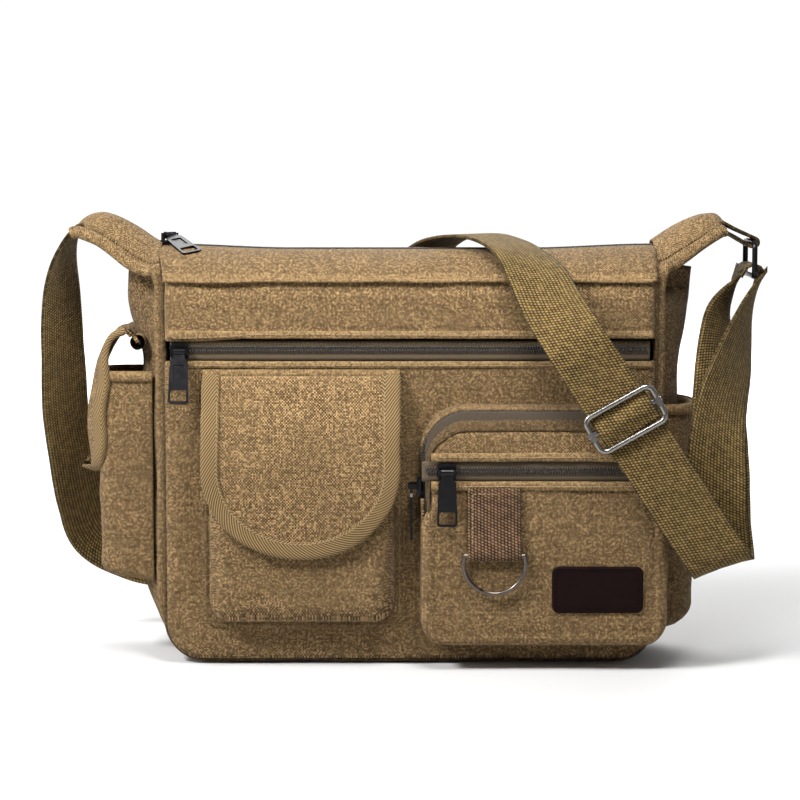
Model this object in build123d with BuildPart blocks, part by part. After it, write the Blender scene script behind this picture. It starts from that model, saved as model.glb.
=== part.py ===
from build123d import *

import os
from math import cos, pi, radians, sin

# Canvas messenger bag. Millimetres. +X is the wearer-side right of the front,
# -Y faces the front, +Z is up. The origin is the middle of the flat base.

# ---- driving dimensions -------------------------------------------------
SEAM_X = 155.0          # half width between the side seams
GUSSET_BULGE = 18.0     # how far each gusset swells past its seams
HALF_DEPTH = 46.0       # outer faces of the inner front and back panels
SKIN = 2.0              # canvas with its backing
SEAM_Z = 244.0          # top edge of the front and back panels
BASE_CORNER_R = 38.0    # bottom corners of the whole body, seen from the front
PANEL_CORNER_R = 24.0   # bottom corners of the front pocket panel
FACE_Y = -53.0          # outer face of the front pocket panel and band
CREST_Z = 264.0         # top edge of the top strips, beside the zip
GAP = 0.3               # clearance between separate soft pieces

FRONT_ZIP_Z = 199.5     # centre of the long front zip
ZIP_HALF = 6.5          # half height of a zip's gap
TAPE_Y = -51.0          # outer face of the long zip's tape
CHAIN_HALF = 2.6        # half width of a zip chain
CHAIN_PROUD = 1.2       # height of the teeth above the tape

FLAP_X = (-130.0, -6.5)        # left and right edges of the pocket flap
FLAP_TOP = (-56.6, 184.0)      # y and z of the flap's sewn top edge
FLAP_LOW_Z = 71.0
FLAP_ROUND_Z = 126.0           # where the flap's straight sides end
FLAP_POCKET_X = (-127.0, -9.0)
FLAP_POCKET_Z = (27.5, 148.0)
FLAP_POCKET_Y = -72.0          # outer face of the flap pocket

CARGO_X = (7.0, 161.0)
CARGO_Z = (16.0, 165.0)
CARGO_Y = -77.0                # outer face of the cargo pocket
CARGO_TOP_R = 28.0
CARGO_LOW_R = 16.0
CARGO_ZIP_Z = 126.5
CARGO_TAPE_Y = -76.0
ARCH_ZIP_Y = -65.0             # the arched zip's line on the cargo gusset
ARCH_START_Z = 104.0

SIDE_POCKET_X = -198.0
SIDE_POCKET_Y = (-34.0, 14.0)
SIDE_POCKET_Z = (50.0, 184.0)
SLIP_POCKET_BULGE = 28.5       # outer swell of the right side pocket
SLIP_POCKET_Y = 38.0
SLIP_POCKET_Z = (26.0, 163.0)

TAB_X = (36.0, 69.0)
TAB_TOP_Z = 116.0
DRING_Y = -80.8
DRING_Z = 74.0
DRING_HALF = 18.7
DRING_DROP = 24.0
DRING_WIRE_R = 1.5

STRAP_WIDTH = 38.0
STRAP_THICK = 2.0
STRAP_Y = -91.0                # middle plane of the strap's straight stretch
UNDER_Y = -81.0                # middle plane of the returning layer
ADJUSTER_X = 132.0
ADJUSTER_Z = 161.0
STRAP_ANGLE = -56.6            # slope of the strap across the front, degrees
ADJUSTER_TILT = 4.0            # how far the adjuster sits off square, degrees
ADJUSTER_LONG = 46.0           # wire centre lines of the adjuster frame
ADJUSTER_SHORT = 24.0
ADJUSTER_WIRE_R = 1.8
BAR_Y = -86.1                  # centre bar of the adjuster

RING_X = 220.0
RING_TOP_Z = 266.0
RING_LOW_Z = 244.5
RING_HALF = 21.5
RING_WIRE_R = 1.75
RING_LOOP_R = 6.3              # strap's middle radius round the ring's bar

PIN_R = 1.0
PIN_BORE_R = 1.06
PIN_HEIGHT = 6.2               # pull pin above the zip tape
PULL_LENGTH = 34.0
PULL_WIDTH = 13.0
PULL_THICK = 1.6
PULL_REST_TILT = 20.0          # the long zip's pull rests on the flap's slope

os.makedirs("parts", exist_ok=True)


def save(piece, name):
    piece.label = name
    export_step(piece, f"parts/{name}.step")


def front_plane(y):
    """Sketch plane seen from the front: x to the right, y up, at depth y."""
    return Plane.XZ.offset(-y)


# ---- body ---------------------------------------------------------------
def bulged_outline(bulge, half_depth, seam_x):
    """Plan of the bag: straight front and back, swelling sides."""
    with BuildSketch() as outline:
        with BuildLine():
            Line((-seam_x, -half_depth), (seam_x, -half_depth))
            ThreePointArc((seam_x, -half_depth), (seam_x + bulge, 0), (seam_x, half_depth))
            Line((seam_x, half_depth), (-seam_x, half_depth))
            ThreePointArc((-seam_x, half_depth), (-seam_x - bulge, 0), (-seam_x, -half_depth))
        make_face()
    return outline.sketch


def body_block(inset, height, low_z):
    """The bag's outer volume, shrunk by inset, from low_z up to height."""
    with BuildPart() as block:
        with BuildSketch(Plane.XY.offset(low_z)):
            add(bulged_outline(GUSSET_BULGE, HALF_DEPTH - inset, SEAM_X - inset))
        extrude(amount=height - low_z)
        reach = SEAM_X + GUSSET_BULGE - inset
        corner = BASE_CORNER_R - inset
        with BuildSketch(Plane.XZ.offset(-HALF_DEPTH)):
            with BuildLine():
                Line((-reach, height), (-reach, low_z + corner))
                RadiusArc((-reach, low_z + corner), (-reach + corner, low_z), -corner)
                Line((-reach + corner, low_z), (reach - corner, low_z))
                RadiusArc((reach - corner, low_z), (reach, low_z + corner), -corner)
                Line((reach, low_z + corner), (reach, height))
                Line((reach, height), (-reach, height))
            make_face()
        extrude(amount=2 * HALF_DEPTH, mode=Mode.INTERSECT)
    return block.part


OUTER_BODY = body_block(0, SEAM_Z, 0)
INNER_BODY = body_block(SKIN, SEAM_Z + 1, SKIN)
BASE_SPLIT_X = SEAM_X + GUSSET_BULGE - BASE_CORNER_R

with BuildPart() as shell:
    add(OUTER_BODY)
    add(INNER_BODY, mode=Mode.SUBTRACT)

with BuildPart() as front_panel:
    add(shell.part)
    split(bisect_by=Plane.XZ.offset(HALF_DEPTH - SKIN), keep=Keep.TOP)
save(front_panel.part, "front_panel")

with BuildPart() as back_panel:
    add(shell.part)
    split(bisect_by=Plane.XZ.offset(-HALF_DEPTH + SKIN), keep=Keep.BOTTOM)
save(back_panel.part, "back_panel")

with BuildPart() as surround:
    add(shell.part)
    split(bisect_by=Plane.XZ.offset(HALF_DEPTH - SKIN), keep=Keep.BOTTOM)
    split(bisect_by=Plane.XZ.offset(-HALF_DEPTH + SKIN), keep=Keep.TOP)

with BuildPart() as left_gusset:
    add(surround.part)
    split(bisect_by=Plane.YZ.offset(-BASE_SPLIT_X), keep=Keep.BOTTOM)
save(left_gusset.part, "left_gusset")

with BuildPart() as right_gusset:
    add(surround.part)
    split(bisect_by=Plane.YZ.offset(BASE_SPLIT_X), keep=Keep.TOP)
save(right_gusset.part, "right_gusset")

with BuildPart() as base_panel:
    add(surround.part)
    split(bisect_by=Plane.YZ.offset(-BASE_SPLIT_X), keep=Keep.TOP)
    split(bisect_by=Plane.YZ.offset(BASE_SPLIT_X), keep=Keep.BOTTOM)
save(base_panel.part, "base_panel")

# Lining: a thin bag inside the shell, with a stiff board under it.
LINING_INSET = SKIN + 1.6
LINING_SKIN = 0.8
with BuildPart() as lining:
    add(body_block(LINING_INSET, SEAM_Z - 4, LINING_INSET))
    add(body_block(LINING_INSET + LINING_SKIN, SEAM_Z, LINING_INSET + LINING_SKIN), mode=Mode.SUBTRACT)
save(lining.part, "lining")

with BuildPart() as base_board:
    with BuildSketch(Plane.XY.offset(SKIN + 0.1)):
        RectangleRounded(2 * BASE_SPLIT_X - 12, 2 * HALF_DEPTH - 12, 8)
    extrude(amount=LINING_INSET - SKIN - 0.2)
save(base_board.part, "base_board")

INNER_POCKET_Y = HALF_DEPTH - LINING_INSET - LINING_SKIN
with BuildPart() as inner_slip_pocket:
    with BuildSketch(front_plane(INNER_POCKET_Y)):
        with Locations((0, 115)):
            RectangleRounded(190, 120, 8)
    extrude(amount=6)
    with BuildSketch(front_plane(INNER_POCKET_Y)):
        with Locations((0, 121)):
            RectangleRounded(186, 128, 6)
    extrude(amount=5, mode=Mode.SUBTRACT)
save(inner_slip_pocket.part, "inner_slip_pocket")


# ---- front: pocket panel, band, long zip ---------------------------------
def panel_outline(inset, top_z, corner_r=PANEL_CORNER_R, low_z=0.0):
    """Front outline with round bottom corners, shrunk by inset."""
    side = SEAM_X - inset
    low = low_z + inset
    corner = corner_r - inset
    with BuildSketch() as outline:
        with BuildLine():
            Line((-side, top_z), (-side, low + corner))
            RadiusArc((-side, low + corner), (-side + corner, low), -corner)
            Line((-side + corner, low), (side - corner, low))
            RadiusArc((side - corner, low), (side, low + corner), -corner)
            Line((side, low + corner), (side, top_z))
            Line((side, top_z), (-side, top_z))
        make_face()
    return outline.sketch


PANEL_INSET = 2.0
PANEL_TOP_Z = FRONT_ZIP_Z - ZIP_HALF
with BuildPart() as front_pocket_panel:
    with BuildSketch(front_plane(-HALF_DEPTH)):
        add(panel_outline(PANEL_INSET, PANEL_TOP_Z))
    extrude(amount=-FACE_Y - HALF_DEPTH)
    with BuildSketch(front_plane(-HALF_DEPTH)):
        add(panel_outline(PANEL_INSET + SKIN, PANEL_TOP_Z + 1))
    extrude(amount=-FACE_Y - HALF_DEPTH - SKIN, mode=Mode.SUBTRACT)
save(front_pocket_panel.part, "front_pocket_panel")

BAND_LOW_Z = FRONT_ZIP_Z + ZIP_HALF + 1.5
with BuildPart() as front_upper_band:
    with BuildSketch(Plane.YZ.offset(-SEAM_X + PANEL_INSET)):
        with BuildLine():
            Polyline(
                (-HALF_DEPTH, SEAM_Z),
                (FACE_Y, SEAM_Z),
                (FACE_Y, BAND_LOW_Z),
                (FACE_Y + SKIN, BAND_LOW_Z),
                (FACE_Y + SKIN, SEAM_Z - SKIN),
                (-HALF_DEPTH, SEAM_Z - SKIN),
                close=True,
            )
        make_face()
    extrude(amount=2 * (SEAM_X - PANEL_INSET))
save(front_upper_band.part, "front_upper_band")


def piping(y_front, depth):
    """Round-cornered edge strip outside the panel outline."""
    with BuildPart() as strip:
        with BuildSketch(front_plane(y_front + depth)):
            add(panel_outline(0, SEAM_Z - GAP))
            add(panel_outline(PANEL_INSET - 0.1, SEAM_Z + 1), mode=Mode.SUBTRACT)
        extrude(amount=depth)
    return strip.part


FRONT_PIPING_DEPTH = 3.0
save(piping(-HALF_DEPTH - FRONT_PIPING_DEPTH - 0.1, FRONT_PIPING_DEPTH), "front_piping")
save(piping(HALF_DEPTH + 0.1, 2.4), "back_piping")


def tape_and_chain(tape_y, x_range, z_mid, half_height):
    """Straight zip: thin tape across its gap with a raised chain."""
    length = x_range[1] - x_range[0]
    x_mid = (x_range[1] + x_range[0]) / 2
    with BuildPart() as zip_piece:
        with BuildSketch(front_plane(tape_y + 1.0)):
            with Locations((x_mid, z_mid)):
                Rectangle(length, 2 * half_height)
        extrude(amount=1.0)
        with BuildSketch(front_plane(tape_y)):
            with Locations((x_mid, z_mid)):
                Rectangle(length - 4, 2 * CHAIN_HALF)
        extrude(amount=CHAIN_PROUD)
    return zip_piece.part


FRONT_ZIP_X = (-SEAM_X + PANEL_INSET + SKIN + GAP, SEAM_X - PANEL_INSET - SKIN - GAP)
save(tape_and_chain(TAPE_Y, FRONT_ZIP_X, FRONT_ZIP_Z, ZIP_HALF - GAP), "front_zip_chain")


# ---- top: two strips and the main zip ------------------------------------
def top_strip(seam_y, crest_y):
    """Curved strip from a top seam up to the zip, cut to the bag's plan."""
    middle_y = (seam_y + crest_y) / 2
    lift = 3.0
    middle_z = (SEAM_Z + CREST_Z) / 2 + lift
    low_z = SEAM_Z + GAP
    with BuildPart() as strip:
        with BuildSketch(Plane.YZ.offset(-SEAM_X - GUSSET_BULGE)):
            with BuildLine():
                ThreePointArc((seam_y, low_z), (middle_y, middle_z), (crest_y, CREST_Z))
                Line((crest_y, CREST_Z), (crest_y, CREST_Z - SKIN))
                ThreePointArc(
                    (crest_y, CREST_Z - SKIN), (middle_y, middle_z - SKIN), (seam_y * 0.95, low_z)
                )
                Line((seam_y * 0.95, low_z), (seam_y, low_z))
            make_face()
        extrude(amount=2 * (SEAM_X + GUSSET_BULGE))
        with BuildSketch(Plane.XY.offset(SEAM_Z)):
            add(bulged_outline(TOP_STRIP_BULGE, -FACE_Y, SEAM_X - 1))
        extrude(amount=CREST_Z, mode=Mode.INTERSECT)
    return strip.part


TOP_STRIP_BULGE = 10.0
CREST_Y = 6.0
save(top_strip(FACE_Y + 0.5, -CREST_Y), "top_strip_front")
save(top_strip(HALF_DEPTH, CREST_Y), "top_strip_back")

TOP_ZIP_X = (-163.0, 160.0)
TOP_TAPE_Z = CREST_Z
with BuildPart() as top_zip_chain:
    with BuildSketch(Plane.XY.offset(TOP_TAPE_Z - 1)):
        with Locations(((TOP_ZIP_X[0] + TOP_ZIP_X[1]) / 2, 0)):
            Rectangle(TOP_ZIP_X[1] - TOP_ZIP_X[0], 2 * (CREST_Y - GAP))
    extrude(amount=1)
    with BuildSketch(Plane.XY.offset(TOP_TAPE_Z)):
        with Locations(((TOP_ZIP_X[0] + TOP_ZIP_X[1]) / 2, 0)):
            Rectangle(TOP_ZIP_X[1] - TOP_ZIP_X[0] - 4, 2 * CHAIN_HALF)
    extrude(amount=CHAIN_PROUD)
save(top_zip_chain.part, "top_zip_chain")


# ---- ears: the gussets' tapered tops that carry the strap ------------------
def section_plane(centre, normal, width_axis):
    return Plane(origin=centre, x_dir=width_axis, z_dir=normal)


def ear(stations):
    """Loft of flat rectangles: centre, direction, width and thickness each."""
    with BuildPart() as piece:
        for centre, direction, width, thickness in stations:
            with BuildSketch(section_plane(centre, direction, (0, 1, 0))):
                RectangleRounded(width, thickness, thickness * 0.3)
        loft(ruled=True)
    return piece.part


LEFT_EAR = [
    ((-167.5, 0, 257.0), (-0.95, 0, 0.3), 84, 22),
    ((-180.0, 0, 267.5), (-0.80, 0, 0.6), 70, 20),
    ((-196.0, 0, 276.5), (-0.95, 0, 0.3), 56, 17),
    ((-211.0, 0, 277.5), (-0.90, 0, -0.4), 44, 8),
]
RIGHT_EAR = [
    ((167.5, 0, 258.0), (0.95, 0, 0.3), 84, 22),
    ((178.0, 0, 270.0), (0.80, 0, 0.6), 68, 20),
    ((189.0, 0, 277.5), (0.97, 0, 0.2), 54, 17),
    ((199.5, 0, 279.5), (0.95, 0, -0.3), 44, 9),
]
save(ear(LEFT_EAR), "left_ear")
save(ear(RIGHT_EAR), "right_ear")


# ---- zip sliders and pulls -------------------------------------------------
def zip_slider(chain_plane, pull_plane):
    """Saddle over the chain with two posts and the pin that holds the pull.

    chain_plane: x along the chain, z away from the tape, origin on the tape.
    pull_plane: same origin and z; the pin runs along its x.
    """
    plate_low = CHAIN_PROUD + 0.5
    plate_high = 3.0
    with BuildPart() as slider:
        with BuildSketch(chain_plane.offset(plate_low)):
            with BuildLine():
                Polyline(
                    (-6.2, -3.6), (-2.0, -5.4), (5.6, -4.6), (5.6, 4.6), (-2.0, 5.4), (-6.2, 3.6), close=True
                )
            make_face()
        extrude(amount=plate_high - plate_low)
        with BuildSketch(chain_plane.offset(0.3)):
            with Locations((-0.4, 4.2), (-0.4, -4.2)):
                Rectangle(10, 1.4)
        extrude(amount=plate_low - 0.3 + 0.2)
        with BuildSketch(pull_plane.offset(plate_high - 0.2)):
            with Locations((-4.7, 0), (4.7, 0)):
                Rectangle(1.4, 3.2)
        extrude(amount=PIN_HEIGHT + 1.5 - plate_high + 0.2)
        pin_plane = Plane(
            origin=pull_plane.origin + pull_plane.z_dir * PIN_HEIGHT - pull_plane.x_dir * 5.2,
            z_dir=pull_plane.x_dir,
        )
        with BuildSketch(pin_plane):
            Circle(PIN_R)
        extrude(amount=10.4)
    return slider.part


def zip_pull(pull_plane, tilt=0.0):
    """Tapered plate with a recess and an open end, hung from a knuckle.

    It hangs along -y of pull_plane, turned outwards by tilt degrees.
    """
    pivot = pull_plane.origin + pull_plane.z_dir * PIN_HEIGHT
    hang = Plane(origin=pivot, x_dir=pull_plane.x_dir, z_dir=pull_plane.z_dir).rotated((-tilt, 0, 0))
    end = -PULL_LENGTH
    half = PULL_WIDTH / 2
    with BuildPart() as pull:
        with BuildSketch(hang.offset(-PULL_THICK / 2)):
            with BuildLine():
                Polyline(
                    (-3.6, -1.0), (-3.6, -4.0), (-half + 1, -6.5), (-half, end + 1.5),
                    (-half + 1.5, end), (half - 1.5, end), (half, end + 1.5), (half - 1, -6.5),
                    (3.6, -4.0), (3.6, -1.0), close=True,
                )
            make_face()
        extrude(amount=PULL_THICK)
        with BuildSketch(hang.offset(-PULL_THICK)):
            with Locations((0, end + 5.4)):
                RectangleRounded(PULL_WIDTH - 3.2, 7.4, 1.2)
        extrude(amount=2 * PULL_THICK, mode=Mode.SUBTRACT)
        with BuildSketch(hang.offset(PULL_THICK / 2 - 0.5)):
            with Locations((0, -14.5)):
                RectangleRounded(PULL_WIDTH - 6.4, 11.5, 0.8)
        extrude(amount=PULL_THICK, mode=Mode.SUBTRACT)
        knuckle_plane = Plane(origin=pivot - pull_plane.x_dir * 3.7, z_dir=pull_plane.x_dir)
        with BuildSketch(knuckle_plane):
            Circle(2.3)
        extrude(amount=7.4)
        with BuildSketch(knuckle_plane):
            Circle(PIN_BORE_R)
        extrude(amount=7.4, mode=Mode.SUBTRACT)
    return pull.part


def face_zip_plane(x, y, z):
    """Chain along X on a front face."""
    return Plane(origin=(x, y, z), x_dir=(1, 0, 0), z_dir=(0, -1, 0))


FRONT_SLIDER_X = -144.5
front_slider_plane = face_zip_plane(FRONT_SLIDER_X, TAPE_Y, FRONT_ZIP_Z)
save(zip_slider(front_slider_plane, front_slider_plane), "front_zip_slider")
save(zip_pull(front_slider_plane, PULL_REST_TILT), "front_zip_pull")

CARGO_SLIDER_X = 23.0
cargo_slider_plane = face_zip_plane(CARGO_SLIDER_X, CARGO_TAPE_Y, CARGO_ZIP_Z)
save(zip_slider(cargo_slider_plane, cargo_slider_plane), "cargo_zip_slider")
save(zip_pull(cargo_slider_plane), "cargo_zip_pull")

# The main zip's slider: its pull lies forwards on the top strip's slope.
TOP_SLIDER_X = -155.0
TOP_PULL_YAW = 30.0
TOP_PULL_SLOPE = 20.0
top_chain_plane = Plane(origin=(TOP_SLIDER_X, 0, TOP_TAPE_Z), x_dir=(1, 0, 0), z_dir=(0, 0, 1))
top_pull_plane = Plane(
    origin=(TOP_SLIDER_X, 0, TOP_TAPE_Z),
    x_dir=(cos(radians(TOP_PULL_YAW)), sin(radians(TOP_PULL_YAW)), 0),
    z_dir=(0, 0, 1),
)
save(zip_slider(top_chain_plane, top_pull_plane), "top_zip_slider")
save(zip_pull(top_pull_plane, -TOP_PULL_SLOPE), "top_zip_pull")

# The arched zip's slider sits on the cargo pocket's left wall.
ARCH_SLIDER_Z = 116.0
ARCH_ORIGIN = (CARGO_X[0], ARCH_ZIP_Y, ARCH_SLIDER_Z)
arch_chain_plane = Plane(origin=ARCH_ORIGIN, x_dir=(0, 0, 1), z_dir=(-1, 0, 0))
arch_pull_plane = Plane(origin=ARCH_ORIGIN, x_dir=(0, -1, 0), z_dir=(-1, 0, 0))
save(zip_slider(arch_chain_plane, arch_pull_plane), "arch_zip_slider")
save(zip_pull(arch_pull_plane), "arch_zip_pull")


# ---- flap pocket -----------------------------------------------------------
def pocket_outline(x_range, z_range, inset, low_r):
    """Square-topped pocket outline with round bottom corners."""
    left = x_range[0] + inset
    right = x_range[1] - inset
    low = z_range[0] + inset
    corner = low_r - inset
    with BuildSketch() as outline:
        with BuildLine():
            Line((left, z_range[1]), (left, low + corner))
            RadiusArc((left, low + corner), (left + corner, low), -corner)
            Line((left + corner, low), (right - corner, low))
            RadiusArc((right - corner, low), (right, low + corner), -corner)
            Line((right, low + corner), (right, z_range[1]))
            Line((right, z_range[1]), (left, z_range[1]))
        make_face()
    return outline.sketch


FLAP_POCKET_R = 12.0
with BuildPart() as flap_pocket:
    with BuildSketch(front_plane(FACE_Y)):
        add(pocket_outline(FLAP_POCKET_X, FLAP_POCKET_Z, 0, FLAP_POCKET_R))
    extrude(amount=FACE_Y - FLAP_POCKET_Y)
    with BuildSketch(front_plane(FACE_Y)):
        add(pocket_outline(FLAP_POCKET_X, (FLAP_POCKET_Z[0], FLAP_POCKET_Z[1] + 1), SKIN, FLAP_POCKET_R))
    extrude(amount=FACE_Y - FLAP_POCKET_Y - SKIN, mode=Mode.SUBTRACT)
save(flap_pocket.part, "flap_pocket")

FLAP_MID_X = (FLAP_X[0] + FLAP_X[1]) / 2
FLAP_HALF_X = (FLAP_X[1] - FLAP_X[0]) / 2


def flap_profile(offset):
    """Side view of the flap's outer surface, moved outwards by offset."""
    return [
        (FLAP_TOP[0] - offset, FLAP_TOP[1]),
        (-59.5 - offset, 180.5),
        (-66.5 - offset, 167.0),
        (-74.5 - offset, 148.0),
        (-78.5 - offset, 122.0),
        (-78.5 - offset, FLAP_LOW_Z - 2),
    ]


def flap_sheet(outer_offset, thickness):
    """Curved plate that follows the flap's side view, over its whole width."""
    outer = flap_profile(outer_offset)
    inner = flap_profile(outer_offset - thickness)
    with BuildPart() as sheet:
        with BuildSketch(Plane.YZ.offset(FLAP_X[0] - 1)):
            with BuildLine():
                Polyline(*outer)
                Line(outer[-1], inner[-1])
                Polyline(*inner)
                Line(inner[0], outer[0])
            make_face()
        extrude(amount=FLAP_X[1] - FLAP_X[0] + 2)
    return sheet.part


def flap_outline(inset):
    """Front view of the flap: straight sides and a half-ellipse below."""
    half = FLAP_HALF_X - inset
    drop = FLAP_ROUND_Z - FLAP_LOW_Z - inset
    with BuildSketch() as outline:
        with BuildLine():
            Line((FLAP_MID_X - half, 190), (FLAP_MID_X - half, FLAP_ROUND_Z))
            EllipticalCenterArc((FLAP_MID_X, FLAP_ROUND_Z), half, drop, start_angle=180, arc_size=180)
            Line((FLAP_MID_X + half, FLAP_ROUND_Z), (FLAP_MID_X + half, 190))
            Line((FLAP_MID_X + half, 190), (FLAP_MID_X - half, 190))
        make_face()
    return outline.sketch


with BuildPart() as flap:
    add(flap_sheet(0, SKIN))
    with BuildSketch(front_plane(FACE_Y)):
        add(flap_outline(0))
    extrude(amount=40, mode=Mode.INTERSECT)
save(flap.part, "flap")

BINDING_WIDTH = 11.0
BINDING_THICK = 0.8
with BuildPart() as flap_binding:
    add(flap_sheet(BINDING_THICK, BINDING_THICK))
    with BuildSketch(front_plane(FACE_Y)):
        add(flap_outline(0))
        add(flap_outline(BINDING_WIDTH), mode=Mode.SUBTRACT)
    extrude(amount=40, mode=Mode.INTERSECT)
save(flap_binding.part, "flap_binding")

PATCH_THICK = 1.2
PATCH_Z = 96.0
with BuildPart() as flap_loop_patch:
    with BuildSketch(front_plane(FLAP_POCKET_Y)):
        with Locations((FLAP_MID_X, PATCH_Z)):
            RectangleRounded(60, 20, 3)
    extrude(amount=PATCH_THICK)
save(flap_loop_patch.part, "flap_loop_patch")

with BuildPart() as flap_hook_patch:
    with BuildSketch(front_plane(-78.5 + SKIN + PATCH_THICK)):
        with Locations((FLAP_MID_X, PATCH_Z)):
            RectangleRounded(60, 20, 3)
    extrude(amount=PATCH_THICK)
save(flap_hook_patch.part, "flap_hook_patch")


# ---- cargo pocket ----------------------------------------------------------
def cargo_outline(inset):
    """Front view of the cargo pocket: wide round top, tighter bottom corners."""
    left = CARGO_X[0] + inset
    right = CARGO_X[1] - inset
    low = CARGO_Z[0] + inset
    high = CARGO_Z[1] - inset
    top_r = CARGO_TOP_R - inset
    low_r = CARGO_LOW_R - inset
    with BuildSketch() as outline:
        with BuildLine():
            Line((left + top_r, high), (right - top_r, high))
            RadiusArc((right - top_r, high), (right, high - top_r), top_r)
            Line((right, high - top_r), (right, low + low_r))
            RadiusArc((right, low + low_r), (right - low_r, low), low_r)
            Line((right - low_r, low), (left + low_r, low))
            RadiusArc((left + low_r, low), (left, low + low_r), low_r)
            Line((left, low + low_r), (left, high - top_r))
            RadiusArc((left, high - top_r), (left + top_r, high), top_r)
        make_face()
    return outline.sketch


CARGO_FACE_BACK = CARGO_Y + SKIN
with BuildPart() as cargo_gusset:
    with BuildSketch(front_plane(FACE_Y)):
        add(cargo_outline(0))
        add(cargo_outline(SKIN), mode=Mode.SUBTRACT)
    extrude(amount=FACE_Y - CARGO_FACE_BACK)
save(cargo_gusset.part, "cargo_gusset")

with BuildPart() as cargo_face:
    with BuildSketch(front_plane(CARGO_FACE_BACK)):
        add(cargo_outline(0))
    extrude(amount=SKIN)

with BuildPart() as cargo_front_lower:
    add(cargo_face.part)
    split(bisect_by=Plane.XY.offset(CARGO_ZIP_Z - ZIP_HALF), keep=Keep.BOTTOM)
save(cargo_front_lower.part, "cargo_front_lower")

with BuildPart() as cargo_front_upper:
    add(cargo_face.part)
    split(bisect_by=Plane.XY.offset(CARGO_ZIP_Z + ZIP_HALF), keep=Keep.TOP)
save(cargo_front_upper.part, "cargo_front_upper")

CARGO_ZIP_X = (CARGO_X[0] + GAP, CARGO_X[1] - GAP)
save(tape_and_chain(CARGO_TAPE_Y, CARGO_ZIP_X, CARGO_ZIP_Z, ZIP_HALF - GAP), "cargo_zip_chain")

CARGO_DIVIDER_Y = -69.4
with BuildPart() as cargo_divider:
    with BuildSketch(front_plane(CARGO_DIVIDER_Y)):
        add(cargo_outline(SKIN + GAP))
    extrude(amount=0.8)
save(cargo_divider.part, "cargo_divider")

with BuildPart() as arch_zip_chain:
    with BuildSketch(front_plane(ARCH_ZIP_Y + CHAIN_HALF)):
        add(cargo_outline(-CHAIN_PROUD))
        add(cargo_outline(0), mode=Mode.SUBTRACT)
        with Locations(((CARGO_X[0] + CARGO_X[1]) / 2, ARCH_START_Z / 2)):
            Rectangle(200, ARCH_START_Z, mode=Mode.SUBTRACT)
    extrude(amount=2 * CHAIN_HALF)
save(arch_zip_chain.part, "arch_zip_chain")

with BuildPart() as leather_label:
    with BuildSketch(front_plane(CARGO_Y)):
        with Locations((117.0, 52.0)):
            RectangleRounded(57, 29.5, 4.5)
    extrude(amount=1.4)
    fillet(leather_label.faces().sort_by(Axis.Y)[0].edges(), 0.5)
save(leather_label.part, "leather_label")

# ---- D-ring on its webbing tab ---------------------------------------------
TAB_THICK = 3.0
TAB_MID_X = (TAB_X[0] + TAB_X[1]) / 2
TAB_BORE_R = DRING_WIRE_R + 0.08
TAB_LOOP_R = 3.4
with BuildPart() as dring_tab:
    with BuildSketch(Plane.YZ.offset(TAB_X[0])):
        with BuildLine():
            Polyline(
                (CARGO_Y - 0.1, TAB_TOP_Z),
                (CARGO_Y - 0.1 - TAB_THICK, TAB_TOP_Z),
                (CARGO_Y - 0.1 - TAB_THICK, DRING_Z + 16),
                (DRING_Y - 2.6, DRING_Z + 1.6),
                (DRING_Y + 3.0, DRING_Z + 0.6),
                close=True,
            )
        make_face()
        with Locations((DRING_Y, DRING_Z)):
            Circle(TAB_LOOP_R)
            Circle(TAB_BORE_R, mode=Mode.SUBTRACT)
    extrude(amount=TAB_X[1] - TAB_X[0])
save(dring_tab.part, "dring_tab")

with BuildPart() as dring:
    dring_plane = Plane(origin=(TAB_MID_X, DRING_Y, DRING_Z), x_dir=(1, 0, 0), z_dir=(0, -1, 0))
    with BuildLine(dring_plane) as bow:
        ThreePointArc((DRING_HALF, 0), (0, -DRING_DROP), (-DRING_HALF, 0))
    with BuildSketch(Plane(origin=bow.line @ 0, z_dir=bow.line % 0)):
        Circle(DRING_WIRE_R)
    sweep(path=bow.line)
    with BuildSketch(Plane(origin=(TAB_MID_X - DRING_HALF, DRING_Y, DRING_Z), z_dir=(1, 0, 0))):
        Circle(DRING_WIRE_R)
    extrude(amount=2 * DRING_HALF)
    for side in (-1, 1):
        with Locations((TAB_MID_X + side * DRING_HALF, DRING_Y, DRING_Z)):
            Sphere(DRING_WIRE_R)
save(dring.part, "dring")

# ---- side pockets ----------------------------------------------------------
BODY_CLEAR = body_block(-GAP, SEAM_Z, -GAP)
with BuildPart() as left_side_pocket:
    pocket_depth = SIDE_POCKET_Y[1] - SIDE_POCKET_Y[0]
    pocket_mid_y = (SIDE_POCKET_Y[1] + SIDE_POCKET_Y[0]) / 2
    with BuildSketch(Plane.XY.offset(SIDE_POCKET_Z[0])):
        with Locations((SIDE_POCKET_X + 20, pocket_mid_y)):
            Rectangle(40, pocket_depth)
    extrude(amount=SIDE_POCKET_Z[1] - SIDE_POCKET_Z[0])
    fillet(left_side_pocket.edges().filter_by(Axis.Z).group_by(Axis.X)[0], 7)
    fillet(left_side_pocket.edges().filter_by(Axis.Y).group_by(Axis.Z)[0].sort_by(Axis.X)[0], 5)
    with BuildSketch(Plane.XY.offset(SIDE_POCKET_Z[0] + SKIN)):
        with Locations((SIDE_POCKET_X + SKIN + 20, pocket_mid_y)):
            RectangleRounded(40, pocket_depth - 2 * SKIN, 5)
    extrude(amount=200, mode=Mode.SUBTRACT)
    add(BODY_CLEAR, mode=Mode.SUBTRACT)
save(left_side_pocket.part, "left_side_pocket")

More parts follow.
